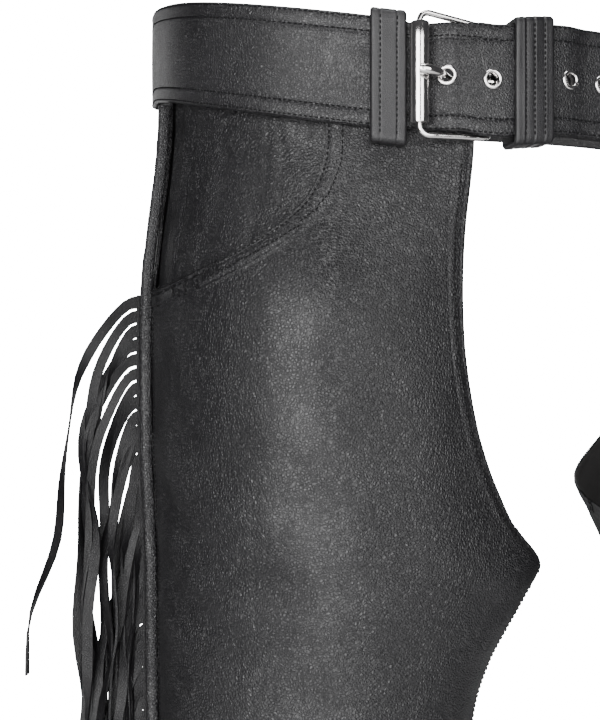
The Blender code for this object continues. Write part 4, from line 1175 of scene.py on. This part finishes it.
# %% Bands round the belt
def band_path(low_out, high_out, bottom, top, corner, start, end):
    """Points round the belt section with the direction away from it, rounded at corners."""
    route = []
    corners = ((high_out, bottom, -90, 0), (high_out, top, 0, 90), (low_out, top, 90, 180), (low_out, bottom, 180, 270))
    for out, up, a0, a1 in corners:
        centre_out = out - corner if out == high_out else out + corner
        centre_up = up + corner if up == bottom else up - corner
        for k in range(7):
            a = math.radians(mix(a0, a1, k / 6))
            route.append((centre_out + corner * math.cos(a), centre_up + corner * math.sin(a), math.cos(a), math.sin(a)))
        if a1 in (0, 180):
            far = top if a1 == 0 else bottom
            span_from, span_to = route[-1][1], (far - corner if a1 == 0 else far + corner)
            route += [(out, mix(span_from, span_to, k / 24), math.cos(a), 0) for k in range(1, 24)]
    return route[start:end]


def band_profile(u, wide, ridges, thick):
    """Height of the band's outer face at u mm from its middle, in metres."""
    d = wide / 2 - abs(u)
    height = thick + 0.35 * MM - thick * 0.55 * max(0, 1 - d / 1.2) ** 2
    for place, size in ridges:
        height += size * MM * math.exp(-((u - place) / 0.55) ** 2)
    return height


def make_band(name, s0, s1, route, thick, ridges, closed, swell):
    wide = (s1 - s0) / MM
    spots = [-wide / 2 + d for d in (0, 0.4, 0.9, 1.5, 2.2, 2.8, 3.2, 3.6, 4.2)]
    spots += [place + d for place, _ in ridges for d in (-1, -0.5, 0, 0.5, 1) if abs(place) < wide / 2 - 4.4] + [0.01]
    spots = sorted(set(round(v, 3) for v in spots + [-v for v in spots[:9]]))
    ring = [(u, None) for u in spots] + [(u, 0) for u in (wide / 2, wide / 6, -wide / 6, -wide / 2)]

    def place(k, i):
        out, up, away_out, away_up = route[i % len(route)]
        u, flat = ring[k]
        height = 0 if flat == 0 else band_profile(u, wide, ridges, thick)
        if flat is None and away_out > 0.5:
            height += swell * MM * noise.noise(Vector((u * 0.16, up * 90, wide)))
        return on_waist((s0 + s1) / 2 + u * MM, out + away_out * height, up + away_up * height)

    bm = bmesh.new()
    roll(bm, len(ring), len(route) if closed else len(route) - 1, place, closed)
    SURFACES[name] = BVHTree.FromBMesh(bm)
    piece = keep(name + "_leather", bm, STRAP_LEATHER)
    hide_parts(name)
    return piece


half = BELT_WIDTH / 2
keeper_route = band_path(-KEEPER_BEHIND, KEEPER_AHEAD, -half - 2.4 * MM, half + WRAP_ABOVE, 1.2 * MM, 0, None)
KEEPER_RIDGES = ((-5.2, 0.15), (-4.4, -0.28), (-0.6, -0.22), (0.3, 0.15), (4.2, -0.28), (5.0, 0.15))
keeper = make_band("keeper", length_at_x(KEEPER_FROM), length_at_x(KEEPER_TO), keeper_route, KEEPER_THICK,
                   KEEPER_RIDGES, True, 0.25)
loop_route = [(0.2 * MM, -half - LOOP_DROP, -0.2, -1)]
loop_route += band_path(-0.5 * MM, BELT_THICK + 0.5 * MM, -half - LOOP_DROP, half + WRAP_ABOVE, 0.9 * MM, 0, -25)
LOOP_RIDGES = ((-3.6, -0.28), (-2.9, 0.12), (3.6, -0.28), (2.9, 0.12))
wide_loop = make_band("belt_loop", length_at_x(LOOP_FROM), length_at_x(LOOP_TO), loop_route, LOOP_THICK,
                      LOOP_RIDGES, False, 0.3)
print("band faces:", len(keeper.data.polygons), len(wide_loop.data.polygons))

# %% [markdown]
# ## Buckle and eyelets
#
# The frame is one bent wire with a loose roller on one end and a prong on the
# other.  Plated wire is round and even, so its section is carried along the
# route; turned parts, such as the roller and the eyelets, are a profile spun
# about an axis.


# %% Turning and bending metal
def turn_profile(bm, profile, steps, place, axis, closed=True):
    """Spin a profile of (radius, height) in mm about an axis through a place."""
    verts = [bm.verts.new((r * MM, 0, h * MM)) for r, h in profile]
    pairs = zip(verts, verts[1:] + verts[:1]) if closed else zip(verts, verts[1:])
    edges = [bm.edges.new(pair) for pair in pairs]
    bmesh.ops.spin(bm, geom=verts + edges, cent=(0, 0, 0), axis=(0, 0, 1), dvec=(0, 0, 0),
                   angle=2 * math.pi, steps=steps, use_merge=True)
    bmesh.ops.remove_doubles(bm, verts=bm.verts, dist=1e-6)
    bmesh.ops.recalc_face_normals(bm, faces=bm.faces)
    turn = Matrix.Translation(place) @ axis.to_track_quat("Z", "Y").to_matrix().to_4x4()
    bmesh.ops.transform(bm, matrix=turn, verts=bm.verts)


def bend_wire(bm, route, radius, across, closed, around=14):
    """A wire of round or flattened section along a route; radius(i) gives its two half sizes."""
    count = len(route)

    def place(k, i):
        before, after = (i - 1) % count, (i + 1) % count
        if not closed:
            before, after = max(i - 1, 0), min(i + 1, count - 1)
        heading = (route[after] - route[before]).normalized()
        side_way = heading.cross(across).normalized()
        up_way = side_way.cross(heading).normalized()
        a, (wide, tall) = 2 * math.pi * k / around, radius(i)
        return route[i] + side_way * math.cos(a) * wide + up_way * math.sin(a) * tall

    roll(bm, around, count if closed else count - 1, place, closed)


def metal_piece(name, bm, *solids):
    piece = keep(name, bm, NICKEL)
    piece.data.set_sharp_from_angle(angle=math.radians(40))
    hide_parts(*solids)
    return piece


# %% Eyelets
EYELET_PROFILE = ((2.7, -1.0), (3.05, -1.0), (3.05, 1.55), (3.3, 1.75), (4.25, 1.75), (4.4, 1.95), (4.25, 2.25),
                  (3.9, 2.46), (3.45, 2.5), (3.05, 2.38), (2.78, 2.1), (2.7, 1.7))
bm = bmesh.new()
for i in range(EYELET_COUNT):
    ring = bmesh.new()
    turn_profile(ring, EYELET_PROFILE, 36, *eyelet_place(i))
    part = bpy.data.meshes.new("ring")
    ring.to_mesh(part)
    ring.free()
    bm.from_mesh(part)
    bpy.data.meshes.remove(part)
eyelets = metal_piece("eyelets_metal", bm, *(f"eyelet_{i + 1}" for i in range(EYELET_COUNT)))
print("eyelets:", EYELET_COUNT, "faces:", len(eyelets.data.polygons))


# %% Buckle frame
def frame_place(s, up):
    return on_waist(s, mix(ROLLER_OFFSET, HINGE_OFFSET, (s - ROLLER_S) / BUCKLE_RUN), up)


def frame_route():
    corners = []
    for end, half_wide, way in ((ROLLER_S, FRAME_HALF_AT_ROLLER, 1), (HINGE_S, FRAME_HALF_AT_HINGE, -1)):
        corners.append([(end + way * FRAME_CORNER * (1 - math.cos(math.radians(9 * k))),
                         half_wide - FRAME_CORNER * (1 - math.sin(math.radians(9 * k)))) for k in range(11)])
    near, far = corners
    turns = [near, far[::-1], [(s, -up) for s, up in far], [(s, -up) for s, up in near[::-1]]]
    route = []
    for n, turn in enumerate(turns):
        places = [frame_place(s, up) for s, up in turn]
        onward = frame_place(*turns[(n + 1) % 4][0])
        route += places + [places[-1].lerp(onward, k / 14) for k in range(1, 14)]
    return route


bm = bmesh.new()
route = frame_route()
_, front_way, _ = waist_frame((ROLLER_S + HINGE_S) / 2)
bend_wire(bm, route, lambda i: (1.35 * MM, 1.35 * MM), front_way, True, 16)
buckle_frame = metal_piece("buckle_frame_metal", bm, "buckle_frame")
print("frame faces:", len(buckle_frame.data.polygons))

# %% Roller
ROLLER_PROFILE = [(1.65, 21.6), (1.85, 21.95), (3.6, 22.0), (4.0, 21.8), (4.15, 21.35), (4.15, 14), (4.15, 7), (4.15, 0)]
ROLLER_PROFILE += [(r, -h) for r, h in reversed(ROLLER_PROFILE[:-1])]
bm = bmesh.new()
turn_profile(bm, ROLLER_PROFILE, 48, on_waist(ROLLER_S, ROLLER_OFFSET, 0), Vector((0, 0, 1)))
roller = metal_piece("roller_metal", bm, "roller")
print("roller faces:", len(roller.data.polygons))

# %% Prong
PRONG = ((0.85, 5.2, 1.1), (0.7, 4.4, 1.2), (0.53, 4.0, 1.2), (0.44, 4.2, 1.0), (0.29, 10.0, 1.5), (0.2, 12.2, 2.1),
         (0.1, 13.8, 2.3), (0.0, 14.2, 2.3), (-0.04, 14.1, 1.9))


def prong_route():
    """Round the hinge bar, under the strap, up through its eyelet and on to the roller."""
    rough = [(HINGE_S + CURL_RADIUS * math.cos(a), HINGE_OFFSET + CURL_RADIUS * math.sin(a), 1.0)
             for a in (math.radians(-170 + 262.5 * k / 14) for k in range(15))]
    rough += [(buckle_s(f), out * MM, size) for f, out, size in PRONG]
    route, sizes = [], []
    for n in range(len(rough) - 1):
        steps = 1 if n < 14 else 6
        for k in range(steps):
            t = k / steps
            before, after = rough[max(n - 1, 0)], rough[min(n + 2, len(rough) - 1)]
            values = []
            for c in range(3):
                p0, p1 = rough[n][c], rough[n + 1][c]
                m0, m1 = (p1 - before[c]) / 2, (after[c] - p0) / 2
                values.append((2 * t ** 3 - 3 * t * t + 1) * p0 + (t ** 3 - 2 * t * t + t) * m0
                              + (3 * t * t - 2 * t ** 3) * p1 + (t ** 3 - t * t) * m1)
            route.append(on_waist(values[0], values[1], 0))
            sizes.append(values[2])
    route.append(on_waist(rough[-1][0], rough[-1][1], 0))
    return route, sizes + [rough[-1][2] * 0.55]


bm = bmesh.new()
route, sizes = prong_route()
bend_wire(bm, route, lambda i: (sizes[i] * 0.92 * MM, sizes[i] * MM), Vector((0, 0, 1)), False, 14)
prong = metal_piece("prong_metal", bm, "prong")
print("prong faces:", len(prong.data.polygons))

# %% [markdown]
# ## Stitches
#
# Thread is what tells the eye that leather is sewn, so every row is made of
# single stitches.  One stitch is a stretched little ball, sunk in the groove
# that its row has pulled, and laid along the row at an even pitch of 2.5 mm.

# %% Stitch helpers
STITCH_PITCH, STITCH_LONG, STITCH_RADIUS = 2.5 * MM, 1.8 * MM, 0.34 * MM


def walk(points, pitch):
    """Even places along a line of points, each with the direction of travel."""
    places, left = [], pitch / 2
    for a, b in zip(points, points[1:]):
        run = (b - a).length
        while left <= run and run > 0:
            places.append((a.lerp(b, left / run), (b - a).normalized()))
            left += pitch
        left -= run
    return places


def inside_row(surface, line, distance, towards):
    """A row at a distance from an edge line, on the side that lies towards a place."""
    row = []
    step = max(1, len(line) // 500)
    for k in range(step, len(line) - step, step):
        heading = (line[k + step] - line[k - step]).normalized()
        _, normal, _, _ = surface.find_nearest(line[k])
        inward = heading.cross(normal).normalized()
        if inward.dot(towards(line[k]) - line[k]) < 0:
            inward = -inward
        row.append(line[k] + inward * distance * MM)
    return row


def sew(name, rows, thread=THREAD, radius=STITCH_RADIUS, long=STITCH_LONG, lift=0.14 * MM):
    """Stitches along rows of (surface, points), as one piece."""
    whole, some, count = bmesh.new(), bmesh.new(), 0

    def gather():
        part = bpy.data.meshes.new("stitches")
        some.to_mesh(part)
        whole.from_mesh(part)
        bpy.data.meshes.remove(part)
        some.clear()

    for surface, points, *pitch in rows:
        for place, heading in walk(points, pitch[0] if pitch else STITCH_PITCH):
            found, normal, _, _ = surface.find_nearest(place)
            heading = (heading - normal * heading.dot(normal)).normalized()
            turn = Matrix((heading, normal.cross(heading), normal)).transposed().to_4x4()
            sized = Matrix.Translation(found + normal * lift) @ turn @ Matrix.Diagonal((long / 2, radius, radius, 1))
            bmesh.ops.create_uvsphere(some, u_segments=6, v_segments=4, radius=1,
                                      matrix=sized @ Matrix.Rotation(math.pi / 2, 4, "Y"))
            count += 1
            if count % 100 == 0:
                gather()
    gather()
    some.free()
    bmesh.ops.recalc_face_normals(whole, faces=whole.faces)
    piece = keep(name, whole, thread)
    print(name, "stitches:", count)
    return piece


# %% Belt and band stitches
def belt_row(up, s_from, s_to, extra=2.0):
    steps = int((s_to - s_from) / (2 * MM))
    free = s_from > WAIST_ROUND / 2
    row = []
    for k in range(steps + 1):
        s = mix(s_from, s_to, k / steps)
        middle = strap_middle(s if s < 0 else s - WAIST_ROUND) if free and s > WAIST_ROUND + buckle_s(-0.7) else BELT_MIDDLE
        row.append(on_waist(s, middle + extra * MM, up * MM))
    return row


first, last = TIP_BEYOND_CENTRE + 4 * MM, WAIST_ROUND + TIP_BEYOND_CENTRE - 26 * MM
rows = []
for up in (17.5, 23.3):
    for way in (1, -1):
        rows.append((SURFACES["belt"], belt_row(way * up, first, WAIST_ROUND + buckle_s(-0.7) - 1 * MM)))
        rows.append((SURFACES["belt"], belt_row(way * up, WAIST_ROUND + buckle_s(-0.7), last)))
belt_thread = sew("belt_thread", rows)


def band_row(name, u, s0, s1, out, low, high):
    return (SURFACES[name], [on_waist((s0 + s1) / 2 + u * MM, out, mix(low, high, k / 40)) for k in range(41)])


keeper_s = (length_at_x(KEEPER_FROM), length_at_x(KEEPER_TO))
loop_s = (length_at_x(LOOP_FROM), length_at_x(LOOP_TO))
rows = [band_row("keeper", u, *keeper_s, 13 * MM, -half - 1 * MM, half) for u in (-4.4, -0.6, 4.2)]
rows += [band_row("belt_loop", u, *loop_s, 6 * MM, -half - 3 * MM, half) for u in (-3.6, 3.6)]
band_thread = sew("band_thread", rows)

# %% Leg stitches
LEG_THREAD = {}
for side, tag in ((RIGHT, "R"), (LEFT, "L")):
    front, back = SURFACES["front_panel_" + tag], SURFACES["back_panel_" + tag]

    def to_front(p, side=side):
        return leg_base(side, -100, p.z)

    def to_back(p, side=side):
        return leg_base(side, 140, p.z)

    def to_middle(p, side=side):
        return leg_base(side, -80, -0.16)

    rows = [(front, inside_row(front, EDGE_LINES[(side, "fly")][90:], d, to_front)) for d in EDGE_ROWS]
    rows += [(front, inside_row(front, EDGE_LINES[(side, "pocket")][20:], d, to_middle)) for d in POCKET_ROWS]
    rows += [(front, inside_row(front, EDGE_LINES[(side, "fly inseam")], 2.4, to_front))]
    rows += [(back, inside_row(back, EDGE_LINES[(side, "seat")][60:], d, to_back)) for d in EDGE_ROWS]
    seam = [seam_place(side, mix(-90 * MM, HEM_Z, k / 460), 1 * MM, 4.6 * MM) for k in range(2, 458)]
    rows += [(front, seam)]
    hem = [leg_base(side, mix(-33, -186, k / 100), HEM_Z + 8 * MM) for k in range(101)]
    rows += [(front, hem), (back, [leg_base(side, mix(-25, 170, k / 120), HEM_Z + 8 * MM) for k in range(121)])]
    LEG_THREAD[tag] = sew(f"leg_thread_{tag}", rows)

# %% [markdown]
# ## What was cut flat
#
# Each leg panel and each pocket facing has the size of its flat cut printed, as the
# worn form is not the cut one.  Its length is measured down the piece, its width
# across the widest row, and its area on the laid surface.


# %% Printing the flat sizes of the leather
def surface_sizes(name, rows, table, gap):
    side = LEFT if name.endswith("L") else RIGHT
    widest = longest = area = 0.0
    before = None
    for z_in, z_out, end in rows:
        start = inner_angle(table, z_in) - gap
        line = [leg_base(side, mix(start, end + gap, k / 40), mix(z_in, z_out, k / 40)) for k in range(41)]
        widest = max(widest, sum((b - a).length for a, b in zip(line, line[1:])))
        if before:
            longest += (line[20] - before[20]).length
            for k in range(40):
                area += (line[k] - before[k + 1]).cross(line[k + 1] - before[k]).length / 2
        before = line
    return widest, longest, area


THREADS = {"R": [PANELS["outseam_R"], PANELS["fringe_R"], LEG_THREAD["R"]],
           "L": [PANELS["outseam_L"], PANELS["fringe_L"], LEG_THREAD["L"]]}
for tag in ("R", "L"):
    for name, rows, table, gap in (("front_panel_" + tag, front_rows(), FLY_EDGE, SEAM_GAP_ANGLE),
                                   ("back_panel_" + tag, back_rows(), SEAT_EDGE, -SEAM_GAP_ANGLE)):
        widest, longest, area = surface_sizes(name, rows, table, gap)
        THREADS[tag] if "front" in name else []
        print(name, "flat mm:", round(widest * 1000), "x", round(longest * 1000), "area cm2:", round(area * 1e4))
    side = LEFT if tag == "L" else RIGHT
    facing_rows = [[leg_base(side, angle, mix(panel_top(angle), FACING_BOTTOM_Z, i / 20))
                    for angle in [mix(FACING_FROM_ANGLE, OUTSEAM_ANGLE - 360 - SEAM_ALLOWANCE, k / 30)
                                  for k in range(31)]]
                   for i in range(21)]
    widest = max(sum((b - a).length for a, b in zip(row, row[1:])) for row in facing_rows)
    longest = max(sum((b[k] - a[k]).length for a, b in zip(facing_rows, facing_rows[1:])) for k in range(31))
    area = sum((a[k] - b[k + 1]).cross(a[k + 1] - b[k]).length / 2
               for a, b in zip(facing_rows, facing_rows[1:]) for k in range(30))
    print("facing", tag, "flat mm:", round(widest * 1000), "x", round(longest * 1000), "area cm2:", round(area * 1e4))
